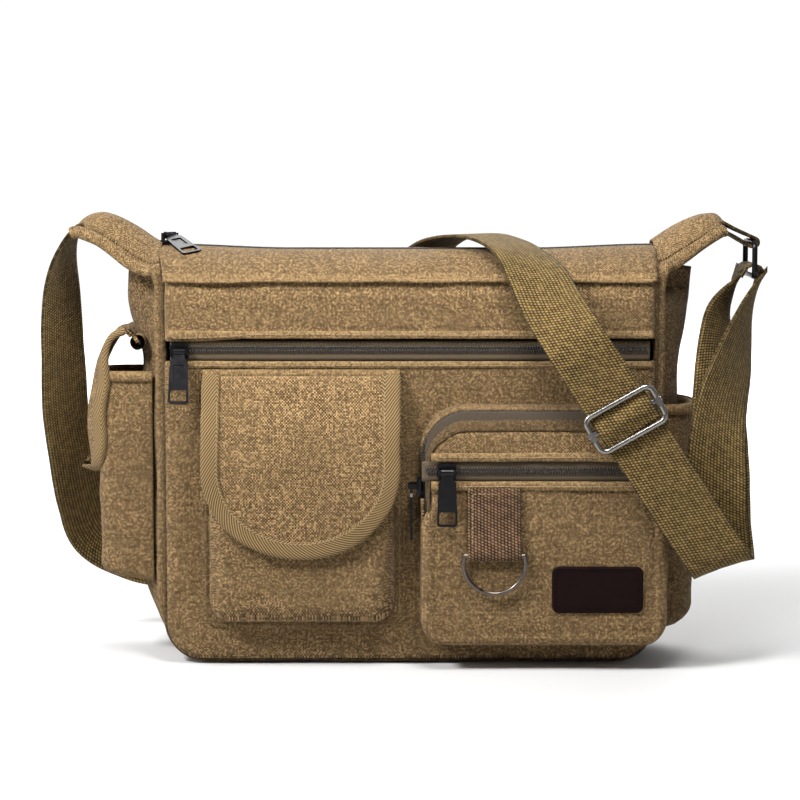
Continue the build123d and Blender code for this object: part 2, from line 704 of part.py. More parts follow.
with BuildPart() as right_side_pocket:
    with BuildSketch(Plane.XY.offset(SLIP_POCKET_Z[0])):
        add(bulged_outline(SLIP_POCKET_BULGE, HALF_DEPTH, SEAM_X))
        Rectangle(2 * SEAM_X + 80, 2 * SLIP_POCKET_Y, mode=Mode.INTERSECT)
    extrude(amount=SLIP_POCKET_Z[1] - SLIP_POCKET_Z[0])
    with BuildSketch(Plane.XY.offset(SLIP_POCKET_Z[0] + SKIN)):
        add(bulged_outline(SLIP_POCKET_BULGE - SKIN, HALF_DEPTH - SKIN, SEAM_X))
        Rectangle(2 * SEAM_X + 80, 2 * SLIP_POCKET_Y - 2 * SKIN, mode=Mode.INTERSECT)
    extrude(amount=200, mode=Mode.SUBTRACT)
    add(BODY_CLEAR, mode=Mode.SUBTRACT)
    split(bisect_by=Plane.YZ.offset(0), keep=Keep.TOP)
save(right_side_pocket.part, "right_side_pocket")

# Side flap: springs from the gusset, arches over the pocket's mouth, hangs outside.
SIDE_FLAP_ROOT = (-175.5, 206.0)
SIDE_FLAP_ROUTE = [
    SIDE_FLAP_ROOT,
    (-183.0, 210.5),
    (-191.0, 206.0),
    (-199.5, 190.0),
    (-205.5, 166.0),
    (-206.0, 142.0),
    (-203.5, 120.0),
]
with BuildPart() as left_side_flap:
    with BuildSketch(front_plane(SIDE_POCKET_Y[1])):
        with BuildLine():
            Spline(*SIDE_FLAP_ROUTE)
        trace(line_width=2.4)
    extrude(amount=SIDE_POCKET_Y[1] - SIDE_POCKET_Y[0] + 1)
save(left_side_flap.part, "left_side_flap")

# ---- strap hardware --------------------------------------------------------
strap_dir = Vector(cos(radians(STRAP_ANGLE)), 0, sin(radians(STRAP_ANGLE)))
adjuster_centre = Vector(ADJUSTER_X, STRAP_Y, ADJUSTER_Z)


def along_strap(distance, y):
    """Point on the strap's straight centre line, at depth y."""
    return (
        adjuster_centre.X + strap_dir.X * distance,
        y,
        adjuster_centre.Z + strap_dir.Z * distance,
    )


long_angle = radians(STRAP_ANGLE + 90 - ADJUSTER_TILT)
long_dir = Vector(cos(long_angle), 0, sin(long_angle))
bar_centre = Vector(ADJUSTER_X, BAR_Y, ADJUSTER_Z)
FRAME_Y = STRAP_Y - STRAP_THICK / 2 - GAP - ADJUSTER_WIRE_R
frame_plane = Plane(origin=(ADJUSTER_X, FRAME_Y, ADJUSTER_Z), x_dir=long_dir, z_dir=(0, -1, 0))

with BuildPart() as adjuster_frame:
    half_long = ADJUSTER_LONG / 2
    half_short = ADJUSTER_SHORT / 2
    with BuildLine(frame_plane) as frame_line:
        FilletPolyline(
            (-half_long, -half_short),
            (half_long, -half_short),
            (half_long, half_short),
            (-half_long, half_short),
            radius=5,
            close=True,
        )
    with BuildSketch(Plane(origin=frame_line.line @ 0, z_dir=frame_line.line % 0)):
        Circle(ADJUSTER_WIRE_R)
    sweep(path=frame_line.line)
    # Lugs at the ends of the long axis reach back to carry the centre bar.
    with BuildSketch(frame_plane.offset(ADJUSTER_WIRE_R)):
        with Locations((-half_long, 0), (half_long, 0)):
            RectangleRounded(3.6, 6.5, 1.2)
    extrude(amount=-(BAR_Y - FRAME_Y) - ADJUSTER_WIRE_R - 2.6)
    bar_hole = Plane(origin=bar_centre - long_dir * ADJUSTER_LONG, z_dir=long_dir)
    with BuildSketch(bar_hole):
        Circle(ADJUSTER_WIRE_R)
    extrude(amount=2 * ADJUSTER_LONG, mode=Mode.SUBTRACT)
save(adjuster_frame.part, "adjuster_frame")

BAR_HALF = ADJUSTER_LONG / 2 + 2.8
with BuildPart() as adjuster_bar:
    bar_plane = Plane(origin=bar_centre - long_dir * BAR_HALF, z_dir=long_dir)
    with BuildSketch(bar_plane):
        Circle(ADJUSTER_WIRE_R)
    extrude(amount=2 * BAR_HALF)
save(adjuster_bar.part, "adjuster_bar")

# The strap's sewn end: a loop round the bar and a doubled tail along the strap.
LOOP_INNER_R = ADJUSTER_WIRE_R + 0.1
LOOP_OUTER_R = LOOP_INNER_R + 1.6
TAIL_LENGTH = 30.0
LOOP_HALF = 17.5
with BuildPart() as strap_end_loop:
    side_plane = Plane(
        origin=bar_centre - long_dir * LOOP_HALF,
        x_dir=(0, -1, 0),
        z_dir=long_dir,
    )
    with BuildSketch(side_plane):
        Circle(LOOP_OUTER_R)
        with Locations((0, -TAIL_LENGTH / 2)):
            Rectangle(3.2, TAIL_LENGTH)
        Circle(LOOP_INNER_R, mode=Mode.SUBTRACT)
    extrude(amount=2 * LOOP_HALF)
save(strap_end_loop.part, "strap_end_loop")

with BuildPart() as strap_ring:
    ring_plane = Plane(origin=(RING_X, 0, 0), x_dir=(0, 1, 0), z_dir=(1, 0, 0))
    with BuildLine(ring_plane) as ring_line:
        FilletPolyline(
            (-RING_HALF, RING_LOW_Z),
            (RING_HALF, RING_LOW_Z),
            (RING_HALF, RING_TOP_Z),
            (-RING_HALF, RING_TOP_Z),
            radius=4,
            close=True,
        )
    with BuildSketch(Plane(origin=ring_line.line @ 0, z_dir=ring_line.line % 0)):
        Circle(RING_WIRE_R)
    sweep(path=ring_line.line)
save(strap_ring.part, "strap_ring")

# Doubled webbing tab from the right ear's end round the ring's upper bar.
RING_TAB_HALF = 17.0
TAB_ROOT = (202.4, 277.2)
with BuildPart() as ring_tab:
    with BuildSketch(Plane.XZ.offset(-RING_TAB_HALF)):
        with BuildLine():
            Line(TAB_ROOT, (RING_X, RING_TOP_Z))
        trace(line_width=4.2)
        with Locations((RING_X, RING_TOP_Z)):
            Circle(RING_WIRE_R + 2.0)
            Circle(RING_WIRE_R + 0.08, mode=Mode.SUBTRACT)
    extrude(amount=2 * RING_TAB_HALF)
save(ring_tab.part, "ring_tab")

# ---- shoulder strap --------------------------------------------------------
FOLD_DIR = Vector(0.94, 0, 0.33).normalized()
FOLD_UP = Vector(-0.33, 0, 0.94).normalized()
FOLD_DISTANCE = 101.0     # from the adjuster to where the fold's bend starts
FOLD_Y = -80.0            # middle of the fold
FOLD_DRIFT = 0.25         # sideways shift per unit of arc, as the bend is oblique
BEND_STEPS = 4


def fold_stations(radius, start_y, direction):
    """Half-turn about the fold's axis, from the front layer to the rear one.

    direction is 1 where the strap runs into the fold and -1 where it comes back.
    """
    start = Vector(*along_strap(FOLD_DISTANCE, start_y))
    rows = []
    for step in range(BEND_STEPS + 1):
        turn = pi * step / BEND_STEPS
        drift = FOLD_DIR * (FOLD_DRIFT * radius * turn)
        drop = FOLD_UP * (-radius * sin(turn))
        back = Vector(0, radius * (1 - cos(turn)), 0)
        tangent = FOLD_UP * (-cos(turn)) + Vector(0, sin(turn), 0)
        rows.append((start + drift + drop + back, tangent * direction, FOLD_DIR * -1))
    if direction < 0:
        rows.reverse()
    return rows


def ring_stations():
    """Half-turn over the ring's lower bar, from the rear leg to the front leg."""
    rows = []
    for step in range(BEND_STEPS + 1):
        turn = pi * step / BEND_STEPS
        centre = Vector(RING_X - RING_LOOP_R * cos(turn), 0, RING_LOW_Z + RING_LOOP_R * sin(turn))
        rows.append((centre, Vector(sin(turn), 0, cos(turn)), Vector(0, -1, 0)))
    return rows


def leg_station(centre, tangent, turn):
    """Station of a leg whose width is turned by turn degrees from facing sideways."""
    width = Vector(-sin(radians(turn)), -cos(radians(turn)), 0)
    return (Vector(*centre), Vector(*tangent), width)


def outer_stations():
    """Left ear, round the back, over the top, across the front, down to the fold."""
    rows = [
        ((-214.0, 0, 275.8), (-0.80, 0, -0.60), (0, 1, 0)),
        ((-220.5, 1, 266.0), (-0.45, 0.05, -0.90), (0.10, 1, 0)),
        ((-225.0, 3, 250.0), (-0.15, 0.10, -1), (0.30, 0.95, 0)),
        ((-226.5, 6, 229.0), (0, 0.10, -1), (0.51, 0.86, 0)),
        ((-226.5, 11, 192.0), (0, 0.15, -1), (0.60, 0.80, 0)),
        ((-226.5, 17, 158.0), (0.05, 0.20, -1), (0.66, 0.75, 0)),
        ((-222.0, 25, 122.0), (0.10, 0.30, -1), (0.72, 0.69, 0)),
        ((-218.0, 36, 92.0), (0.15, 0.40, -0.90), (0.76, 0.62, 0.20)),
        ((-211.0, 49, 69.0), (0.50, 0.40, -0.75), (0.78, 0.35, 0.50)),
        ((-194.0, 58, 56.0), (0.85, 0.20, -0.45), (0.48, 0.10, 0.87)),
        ((-170.0, 60, 49.0), (1, 0, -0.10), (0.12, 0, 1)),
        ((-138.0, 56, 52.0), (0.93, -0.10, 0.35), (-0.30, 0, 0.94)),
        ((-110.0, 52.5, 70.0), (0.70, -0.05, 0.70), (-0.70, 0, 0.70)),
        ((-84.0, 51.0, 104.0), (0.54, 0, 0.84), (-0.84, 0, 0.54)),
        ((-8.0, 51.0, 228.0), (0.52, 0, 0.85), (-0.85, 0, 0.52)),
        ((1.0, 49.8, 243.0), (0.55, -0.30, 0.78), (-0.82, -0.15, 0.52)),
        ((11.0, 40.0, 257.5), (0.60, -0.62, 0.50), (-0.75, -0.62, 0.12)),
        ((24.0, 22.0, 267.0), (0.62, -0.72, 0.30), (-0.72, -0.68, 0)),
        ((42.0, 0, 270.2), (0.65, -0.76, 0), (-0.74, -0.67, 0)),
        ((58.0, -22.0, 267.0), (0.60, -0.75, -0.30), (-0.74, -0.67, 0)),
        ((70.0, -43.0, 259.5), (0.50, -0.70, -0.50), (-0.80, -0.58, -0.05)),
        ((80.0, -61.0, 245.5), (0.45, -0.60, -0.66), (-0.85, -0.40, -0.30)),
        ((88.5, -77.0, 228.0), (0.48, -0.45, -0.75), (-0.85, -0.20, -0.48)),
    ]
    across = strap_dir.cross(Vector(0, 1, 0)) * -1
    rows.append((along_strap(-56, STRAP_Y), strap_dir, across))
    rows.append((along_strap(84, STRAP_Y), strap_dir, across))
    return rows


def rear_leg():
    return [
        leg_station((194.0, -68.5, 98), (0, 0.05, 1), 90),
        leg_station((193.5, -66, 122), (0, 0.15, 1), 88),
        leg_station((193.5, -60, 148), (0, 0.35, 1), 74),
        leg_station((195.0, -48.5, 174), (0.05, 0.50, 1), 58),
        leg_station((197.5, -31, 199), (0.10, 0.60, 1), 43),
        leg_station((202.0, -13, 220), (0.35, 0.60, 1), 27),
        leg_station((209.0, -3, 235), (0.40, 0.30, 1), 12),
    ]


def front_leg():
    return [
        leg_station((223.0, -5, 233), (-0.25, -0.35, -1), 10),
        leg_station((213.5, -22, 210), (-0.40, -0.60, -1), 27),
        leg_station((204.5, -39, 188), (-0.38, -0.60, -1), 42),
        leg_station((195.5, -56, 163), (-0.30, -0.55, -1), 58),
        leg_station((191.5, -68, 138), (-0.10, -0.30, -1), 75),
        leg_station((190.6, -73, 114), (0, -0.10, -1), 88),
        leg_station((190.8, -73.5, 94), (0.05, 0, -1), 90),
    ]


def under_stations():
    """Returning layer, from the fold up to the sewn end behind the adjuster."""
    across = strap_dir.cross(Vector(0, 1, 0)) * -1
    back_dir = strap_dir * -1
    return [
        (along_strap(84, -85.2), back_dir, across),
        (along_strap(62, UNDER_Y), back_dir, across),
        (along_strap(1, UNDER_Y), back_dir, across),
    ]


OUTER_BEND_R = FOLD_Y - STRAP_Y
INNER_BEND_R = 6.5
strap_stations = (
    outer_stations()
    + fold_stations(OUTER_BEND_R, STRAP_Y, 1)
    + rear_leg()
    + ring_stations()
    + front_leg()
    + fold_stations(INNER_BEND_R, FOLD_Y - INNER_BEND_R, -1)
    + under_stations()
)


def strap_span(first, second):
    """Flat webbing between two neighbouring stations."""
    with BuildPart() as span:
        for centre, tangent, width in (first, second):
            side = Vector(*width)
            normal = Vector(*tangent).cross(side)
            with BuildSketch(Plane(origin=centre, x_dir=side, z_dir=side.cross(normal))):
                Rectangle(STRAP_WIDTH, STRAP_THICK)
        loft(ruled=True)
    return span.part


strap_spans = [strap_span(*pair) for pair in zip(strap_stations, strap_stations[1:])]
with BuildPart() as shoulder_strap:
    add(strap_spans)
save(shoulder_strap.part, "shoulder_strap")
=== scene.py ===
import math

import bpy
from mathutils import Matrix, Vector, noise


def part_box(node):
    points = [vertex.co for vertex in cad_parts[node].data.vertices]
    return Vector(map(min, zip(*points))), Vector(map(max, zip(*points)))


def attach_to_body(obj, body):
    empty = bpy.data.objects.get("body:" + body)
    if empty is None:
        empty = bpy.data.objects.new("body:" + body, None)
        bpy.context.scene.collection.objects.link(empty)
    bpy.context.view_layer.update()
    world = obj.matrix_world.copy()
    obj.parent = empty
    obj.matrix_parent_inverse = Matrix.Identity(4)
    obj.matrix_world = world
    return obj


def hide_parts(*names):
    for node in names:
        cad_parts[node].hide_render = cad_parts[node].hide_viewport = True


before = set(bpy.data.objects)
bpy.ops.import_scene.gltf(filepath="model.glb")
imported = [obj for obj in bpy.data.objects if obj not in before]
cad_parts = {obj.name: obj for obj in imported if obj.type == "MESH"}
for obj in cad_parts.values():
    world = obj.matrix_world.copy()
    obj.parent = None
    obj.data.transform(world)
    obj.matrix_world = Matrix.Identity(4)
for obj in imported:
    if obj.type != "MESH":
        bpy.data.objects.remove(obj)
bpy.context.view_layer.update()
MM = 0.001
BAG = "bag"


# ---- places, read from the frame ---------------------------------------------
def low(node):
    return Vector(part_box(node)[0])


def high(node):
    return Vector(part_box(node)[1])


PANEL_LOW = low("front_pocket_panel")
PANEL_HIGH = high("front_pocket_panel")
SEAM_X = high("front_piping").x
FACE_Y = PANEL_LOW.y
BACK_Y = high("back_panel").y
SEAM_Z = high("front_panel").z
CREST_Z = high("top_strip_front").z
BAND_LOW_Z = low("front_upper_band").z
FRONT_ZIP_Z = (PANEL_HIGH.z + BAND_LOW_Z) / 2
CANVAS = 1.6 * MM


# ---- small shader-writing helpers --------------------------------------------
class Value:
    """A shader's socket; + - * / % ** on it add the maths nodes for them."""

    def __init__(self, shader, socket):
        self.shader = shader
        self.socket = socket

    def __add__(self, other):
        return self.shader.math("ADD", self, other)

    def __sub__(self, other):
        return self.shader.math("SUBTRACT", self, other)

    def __mul__(self, other):
        return self.shader.math("MULTIPLY", self, other)

    def __truediv__(self, other):
        return self.shader.math("DIVIDE", self, other)

    def __mod__(self, other):
        return self.shader.math("FLOORED_MODULO", self, other)

    def __pow__(self, other):
        return self.shader.math("POWER", self, other)

    def floor(self):
        return self.shader.math("FLOOR", self)

    def yarn(self):
        """A yarn's round back over each whole step: 1 in its middle, 0 at its ends."""
        return self.shader.math("COSINE", (self.shader.math("FRACT", self) - 0.5) * math.pi)

    def clamped(self):
        self.socket.node.use_clamp = True
        return self


class Shader:
    """A material's node tree with short calls for the nodes used here."""

    def __init__(self, name):
        self.material = bpy.data.materials.new(name)
        self.material.use_nodes = True
        self.nodes = self.material.node_tree.nodes
        self.links = self.material.node_tree.links
        self.surface = self.nodes["Principled BSDF"]

    def put(self, socket, value):
        """Feed a socket from another node, or set its number or colour."""
        if isinstance(value, Value):
            self.links.new(value.socket, socket)
        elif socket.type == "RGBA":
            socket.default_value = (*value, 1)
        else:
            socket.default_value = value

    def node(self, kind, output, inputs, **settings):
        """Add a node with its settings, feed its inputs, and give one output."""
        node = self.nodes.new("ShaderNode" + kind)
        for name, value in settings.items():
            setattr(node, name, value)
        for name, value in inputs.items():
            self.put(node.inputs[name], value)
        return Value(self, node.outputs[output])

    def math(self, operation, a, b=0.0):
        return self.node("Math", 0, {0: a, 1: b}, operation=operation)

    def split(self, vector):
        node = self.nodes.new("ShaderNodeSeparateXYZ")
        self.put(node.inputs[0], vector)
        return [Value(self, output) for output in node.outputs]

    def join(self, x, y, z=0.0):
        return self.node("CombineXYZ", 0, {0: x, 1: y, 2: z})

    def uv(self):
        return self.node("TexCoord", "UV", {})

    def place(self):
        return self.node("TexCoord", "Object", {})

    def attribute(self, name):
        return self.node("Attribute", "Fac", {}, attribute_name=name)

    def noise(self, vector, scale, detail=2.0, roughness=0.5):
        inputs = {"Vector": vector, "Scale": scale, "Detail": detail, "Roughness": roughness}
        return self.node("TexNoise", "Fac", inputs)

    def cells(self, vector, scale):
        return self.node("TexVoronoi", "Distance", {"Vector": vector, "Scale": scale})

    def white(self, value):
        return self.node("TexWhiteNoise", "Value", {"W": value}, noise_dimensions="1D")

    def white_2d(self, x, y):
        return self.node("TexWhiteNoise", "Value", {"Vector": self.join(x, y)}, noise_dimensions="2D")

    def mix(self, factor, a, b):
        """Mix two colours."""
        return self.node("Mix", "Result", {"Factor": factor, "A": a, "B": b}, data_type="RGBA")

    def blend(self, factor, a, b):
        """Mix two numbers."""
        return self.node("Mix", "Result", {"Factor": factor, "A": a, "B": b})

    def bump(self, height, distance, strength=1.0, under=None):
        inputs = {"Strength": strength, "Distance": distance, "Height": height}
        if under is not None:
            inputs["Normal"] = under
        return self.node("Bump", "Normal", inputs)

    def finish(self, colour, roughness, normal, **uniform):
        self.put(self.surface.inputs["Base Color"], colour)
        self.put(self.surface.inputs["Roughness"], roughness)
        self.put(self.surface.inputs["Normal"], normal)
        for name, value in uniform.items():
            self.put(self.surface.inputs[name.replace("_", " ")], value)
        return self.material


def shade(colour, factor):
    return tuple(min(1.0, c * factor) for c in colour)


def weave_cell(s, u, v):
    """Plain weave: the top yarn's height, each yarn's own tint, and which yarn is on top."""
    column = u.floor()
    row = v.floor()
    over = (column + row) % 2.0
    across = u.yarn()
    along = v.yarn()
    warp = across * (along * 0.5 + 0.5)
    weft = along * (across * 0.5 + 0.5)
    tint = s.blend(over, s.white(column), s.white(row + 0.37))
    return s.blend(over, warp, weft), tint, over


def blotched(s, ground, colour, scale, level, gain, factor):
    """The ground with large soft blotches of a darker shade."""
    blotch = s.noise(s.place(), scale, 3, 0.6)
    return s.mix(((blotch - level) * gain).clamped(), ground, shade(colour, factor))


def canvas(name, colour, pitch=0.92 * MM):
    """Washed plain-weave canvas: uneven yarns, pale flecks, blotches, worn edges, and painted light that
    makes the yarn crowns lighter and the gaps between yarns darker.
    """
    s = Shader(name)
    u, v, _ = s.split(s.uv())
    drift = (s.noise(s.uv(), 70, 2) - 0.5) * (1.5 * MM)
    u = (u + drift) / pitch
    v = (v + drift) / (pitch * 0.92)
    height, tint, over = weave_cell(s, u, v)
    streak = s.noise(s.join(u * 0.07, v), 1.0, 2, 0.6)
    cell = s.white_2d(u.floor(), v.floor())
    fleck = cell**5.0
    coarse = s.noise(s.join(u * 0.8, v), 1.0, 2, 0.6)
    # The lit share paints light on the yarn crowns and shade in the gaps between them (height), added to each
    # yarn's own tone, streaks and pale flecks.
    lit = height * 0.52 + (cell - 0.5) * 0.44 + (over - 0.5) * 0.46 + (streak - 0.5) * 0.36
    lit = (lit + (tint - 0.5) * 0.22 + (coarse - 0.45) * 0.22 + fleck * 0.5).clamped()
    deep = tuple(c * k for c, k in zip(colour, (0.18, 0.155, 0.12)))
    ground = s.mix(lit, deep, shade(colour, 2.4))
    ground = blotched(s, ground, colour, 26, 0.42, 1.2, 0.6)
    worn = (s.attribute("wear") * (cell * 0.8 + 0.25)).clamped()
    ground = s.mix(worn, ground, shade(colour, 2.3))
    fuzz = s.noise(s.join(u, v), 4.0, 2)
    creases = s.bump(s.noise(s.place(), 60, 3, 0.55), 1.0 * MM, 0.55)
    normal = s.bump(height + fuzz * 0.25, 0.35 * MM, 0.8, creases)
    return s.finish(ground, 0.95, normal, Sheen_Weight=0.04, Specular_IOR_Level=0.12)


def webbing(name, colour):
    """Coarse webbing: short fat floats in columns, each column half a float on."""
    s = Shader(name)
    rib = 2.1 * MM
    u, v, _ = s.split(s.uv())
    u = u / rib
    column = u.floor()
    shift = (column % 2.0) * 0.5
    lean = (s.math("FRACT", u) - 0.5) * 0.35
    v = v / (rib * 0.88) + shift + lean
    height = v.yarn() ** 0.6 * u.yarn() ** 0.5
    tint = s.white_2d(column, v.floor())
    fibre = s.noise(s.join(u * 5.0, v), 1.0, 2, 0.6)
    # The lit share paints light on the float crowns (height) over each float's own tone and fibre noise.
    lit = ((tint - 0.5) * 0.35 + height**2.2 + (fibre - 0.5) * 0.5).clamped()
    ground = s.mix(lit, shade(colour, 0.13), shade(colour, 2.1))
    ground = blotched(s, ground, colour, 40, 0.4, 0.9, 0.75)
    normal = s.bump(height + fibre * 0.2, 0.6 * MM, 0.9)
    return s.finish(ground, 0.92, normal, Sheen_Weight=0.04, Specular_IOR_Level=0.14)


def twill(name, colour):
    """Twill tape: slanted ribs, with a narrow selvedge that slants the other way."""
    s = Shader(name)
    u, v, _ = s.split(s.uv())
    slanted = s.math("PINGPONG", u + 5.8 * MM, 9.5 * MM)
    drift = s.noise(s.uv(), 60, 2) * (1.5 * MM)
    rib = ((v + drift + slanted * 1.5) / (2.7 * MM)).yarn()
    speck = s.noise(s.uv(), 1100, 3, 0.7)
    # The lit share paints light on the rib crowns and shade between the ribs, broken by random specks.
    lit = (rib**1.5 * (speck + 0.5)).clamped()
    ground = s.mix(lit, shade(colour, 0.25), shade(colour, 1.9))
    normal = s.bump(rib + speck * 0.4, 0.4 * MM, 0.85)
    return s.finish(ground, 0.92, normal, Sheen_Weight=0.04, Specular_IOR_Level=0.14)


def tape_cloth(name, colour):
    """Zip tape: tight ribs along the chain."""
    s = Shader(name)
    u, v, _ = s.split(s.uv())
    rib = s.math("COSINE", v * (2 * math.pi / (0.75 * MM)))
    fine = s.math("COSINE", u * (2 * math.pi / (0.9 * MM)))
    height = fine * 0.4 + rib
    # The rib height is painted into the colour as light on the rib crowns and shade between them.
    lit = (height * 0.3 + 0.45).clamped()
    ground = s.mix(lit, shade(colour, 0.55), shade(colour, 1.35))
    return s.finish(ground, 0.8, s.bump(height, 0.12 * MM, 0.7), Sheen_Weight=0.1)


def leather(name, colour):
    """Waxed leather: a fine cell grain, rubbed pale where it wears."""
    s = Shader(name)
    grain = s.cells(s.place(), 1500)
    fine = s.noise(s.place(), 600, 4, 0.65)
    wax = s.noise(s.place(), 60, 3)
    ground = s.mix(wax, shade(colour, 0.7), shade(colour, 1.7))
    ground = s.mix((s.attribute("wear") * fine).clamped(), ground, shade(colour, 3.2))
    normal = s.bump(grain * 0.8 + fine * 0.6, 0.12 * MM, 0.6)
    return s.finish(ground, wax * 0.2 + 0.5, normal, Specular_IOR_Level=0.06)


def metal(name, colour, roughness, wear, metallic=1.0):
    """Plated or painted metal: fine scratches, smears and rubbed patches."""
    s = Shader(name)
    smear = s.noise(s.place(), 220, 4, 0.6)
    x, y, z = s.split(s.place())
    scratch = s.noise(s.join(x * 900, y * 900, z * 160), 1.0, 3, 0.7)
    rub = ((smear - 0.5) * (2.0 * wear)).clamped()
    ground = s.mix(rub, colour, shade(colour, 2.2))
    rough = (smear + scratch) * 0.16 + (roughness - 0.12)
    return s.finish(ground, rough, s.bump(scratch, 0.03 * MM, 0.5), Metallic=metallic)


def plain_fibre(name, colour, grain_scale, depth, roughness=0.9):
    """Thread, lining, board and fastener cloth: a soft irregular grain."""
    s = Shader(name)
    grain = s.noise(s.place(), grain_scale, 3, 0.65)
    ground = s.mix(grain, shade(colour, 0.6), shade(colour, 1.4))
    return s.finish(ground, roughness, s.bump(grain, depth, 0.7), Sheen_Weight=0.1)


def coil(name, colour):
    """Dusty nylon coil."""
    s = Shader(name)
    dust = s.noise(s.place(), 400, 3)
    ground = s.mix(dust, shade(colour, 0.7), shade(colour, 1.8))
    return s.finish(ground, 0.3, s.bump(dust, 0.05 * MM, 0.4), Specular_IOR_Level=0.5)


KHAKI = (0.165, 0.107, 0.050)
MATERIALS = {
    "canvas": canvas("canvas_cloth", KHAKI),
    # A darker copy of the canvas: painted shade for cloth that turns away from the light or lies in shade.
    "canvas_painted_shade": canvas("canvas_painted_shade_cloth", shade(KHAKI, 0.78)),
    # A lighter copy of the canvas: painted light for cloth that faces up towards the lamps.
    "canvas_painted_light": canvas("canvas_painted_light_cloth", shade(KHAKI, 1.12)),
    "piping": canvas("piping_cloth", shade(KHAKI, 0.5), 0.9 * MM),
    "binding": twill("binding_tape", (0.145, 0.096, 0.043)),
    "webbing": webbing("strap_webbing", (0.135, 0.088, 0.030)),
    "tab_webbing": webbing("tab_webbing", (0.115, 0.066, 0.036)),
    "lining_cloth": plain_fibre("lining_cloth", (0.06, 0.043, 0.026), 900, 0.15 * MM),
    "board": plain_fibre("base_board", (0.07, 0.06, 0.05), 500, 0.1 * MM, 0.6),
    "hook_loop": plain_fibre("hook_loop_tape", (0.10, 0.075, 0.05), 1400, 0.5 * MM),
    "leather": leather("label_leather", (0.0062, 0.0024, 0.0021)),
    "zip_coil": coil("zip_coil", (0.016, 0.012, 0.009)),
    "zip_tape": tape_cloth("zip_tape", (0.082, 0.055, 0.026)),
    "thread": plain_fibre("stitch_thread", (0.30, 0.205, 0.10), 1500, 0.1 * MM),
    "thread_dark": plain_fibre("stitch_thread_dark", (0.20, 0.135, 0.06), 1500, 0.1 * MM),
    "gunmetal": metal("gunmetal", (0.026, 0.025, 0.027), 0.30, 0.5),
    "nickel": metal("worn_nickel", (0.27, 0.255, 0.235), 0.22, 0.3),
    "bronze": metal("antique_bronze", (0.135, 0.112, 0.092), 0.24, 0.4),
    "black_steel": metal("black_steel", (0.022, 0.021, 0.022), 0.28, 0.5, 0.9),
}


# ---- mesh helpers ------------------------------------------------------------
def ripple(point, scale, seed=0.0):
    """Smooth noise from -1 to 1, the same on every run."""
    return noise.noise(Vector(point) * scale + Vector((seed, seed * 1.7, seed * 0.6)))


def smoothstep(edge_a, edge_b, value):
    t = max(0.0, min(1.0, (value - edge_a) / (edge_b - edge_a)))
    return t * t * (3 - 2 * t)


def add_piece(name, mesh, material):
    """Link a mesh into the scene as one smooth-shaded piece."""
    piece = bpy.data.objects.new(name, mesh)
    bpy.context.scene.collection.objects.link(piece)
    mesh.materials.append(MATERIALS[material])
    for polygon in mesh.polygons:
        polygon.use_smooth = True
    return piece


def grid_piece(name, rows, material, uv=None, wear=None, thickness=CANVAS, closed=False, offset=-1.0):
    """Cloth from a grid of points: quads, arc-length UVs in metres, wear, thickness.
    Wear is one number, or a function of the shares along the rows and along one row."""
    count = len(rows[0])
    middle = rows[len(rows) // 2]
    u_line = [0.0]
    for a, b in zip(middle, middle[1:]):
        u_line.append(u_line[-1] + (b - a).length)
    v_line = [0.0]
    for first, second in zip(rows, rows[1:]):
        v_line.append(v_line[-1] + (second[count // 2] - first[count // 2]).length)
    mesh = bpy.data.meshes.new(name)
    vertices = [point for row in rows for point in row]
    spans = count if closed else count - 1
    faces = []
    for i in range(len(rows) - 1):
        for j in range(spans):
            k = (j + 1) % count
            faces.append((i * count + j, i * count + k, (i + 1) * count + k, (i + 1) * count + j))
    mesh.from_pydata(vertices, [], faces)
    layer = mesh.uv_layers.new(name="cloth")
    for polygon in mesh.polygons:
        columns = [mesh.loops[l].vertex_index % count for l in polygon.loop_indices]
        wraps = closed and 0 in columns and count - 1 in columns
        for loop in polygon.loop_indices:
            index = mesh.loops[loop].vertex_index
            i, j = divmod(index, count)
            if uv is not None:
                layer.data[loop].uv = uv(vertices[index], i, j)
            elif wraps and j == 0:
                layer.data[loop].uv = (u_line[-1] + (middle[0] - middle[-1]).length, v_line[i])
            else:
                layer.data[loop].uv = (u_line[j], v_line[i])
    attribute = mesh.attributes.new("wear", "FLOAT", "POINT")
    if wear is not None:
        for index in range(len(vertices)):
            i, j = divmod(index, count)
            share_i, share_j = i / (len(rows) - 1), j / max(1, count - 1)
            attribute.data[index].value = wear(share_i, share_j) if callable(wear) else wear
    piece = add_piece(name, mesh, material)
    if thickness:
        shell = piece.modifiers.new("cloth", "SOLIDIFY")
        shell.thickness = thickness
        shell.offset = offset
        shell.use_even_offset = False
    return piece


def edge_wear(width_u, width_v, amount=0.55):
    """Wear that fades from a cloth's four edges; widths are shares of its size."""

    def wear(i, j):
        near_u = 1 - smoothstep(0, width_u, min(j, 1 - j)) if width_u else 0
        near_v = 1 - smoothstep(0, width_v, min(i, 1 - i)) if width_v else 0
        return amount * max(near_u, near_v)

    return wear


def attach(piece, body, slot_name, *nodes):
    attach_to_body(piece, body)
    if nodes:
        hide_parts(*nodes)
    return piece


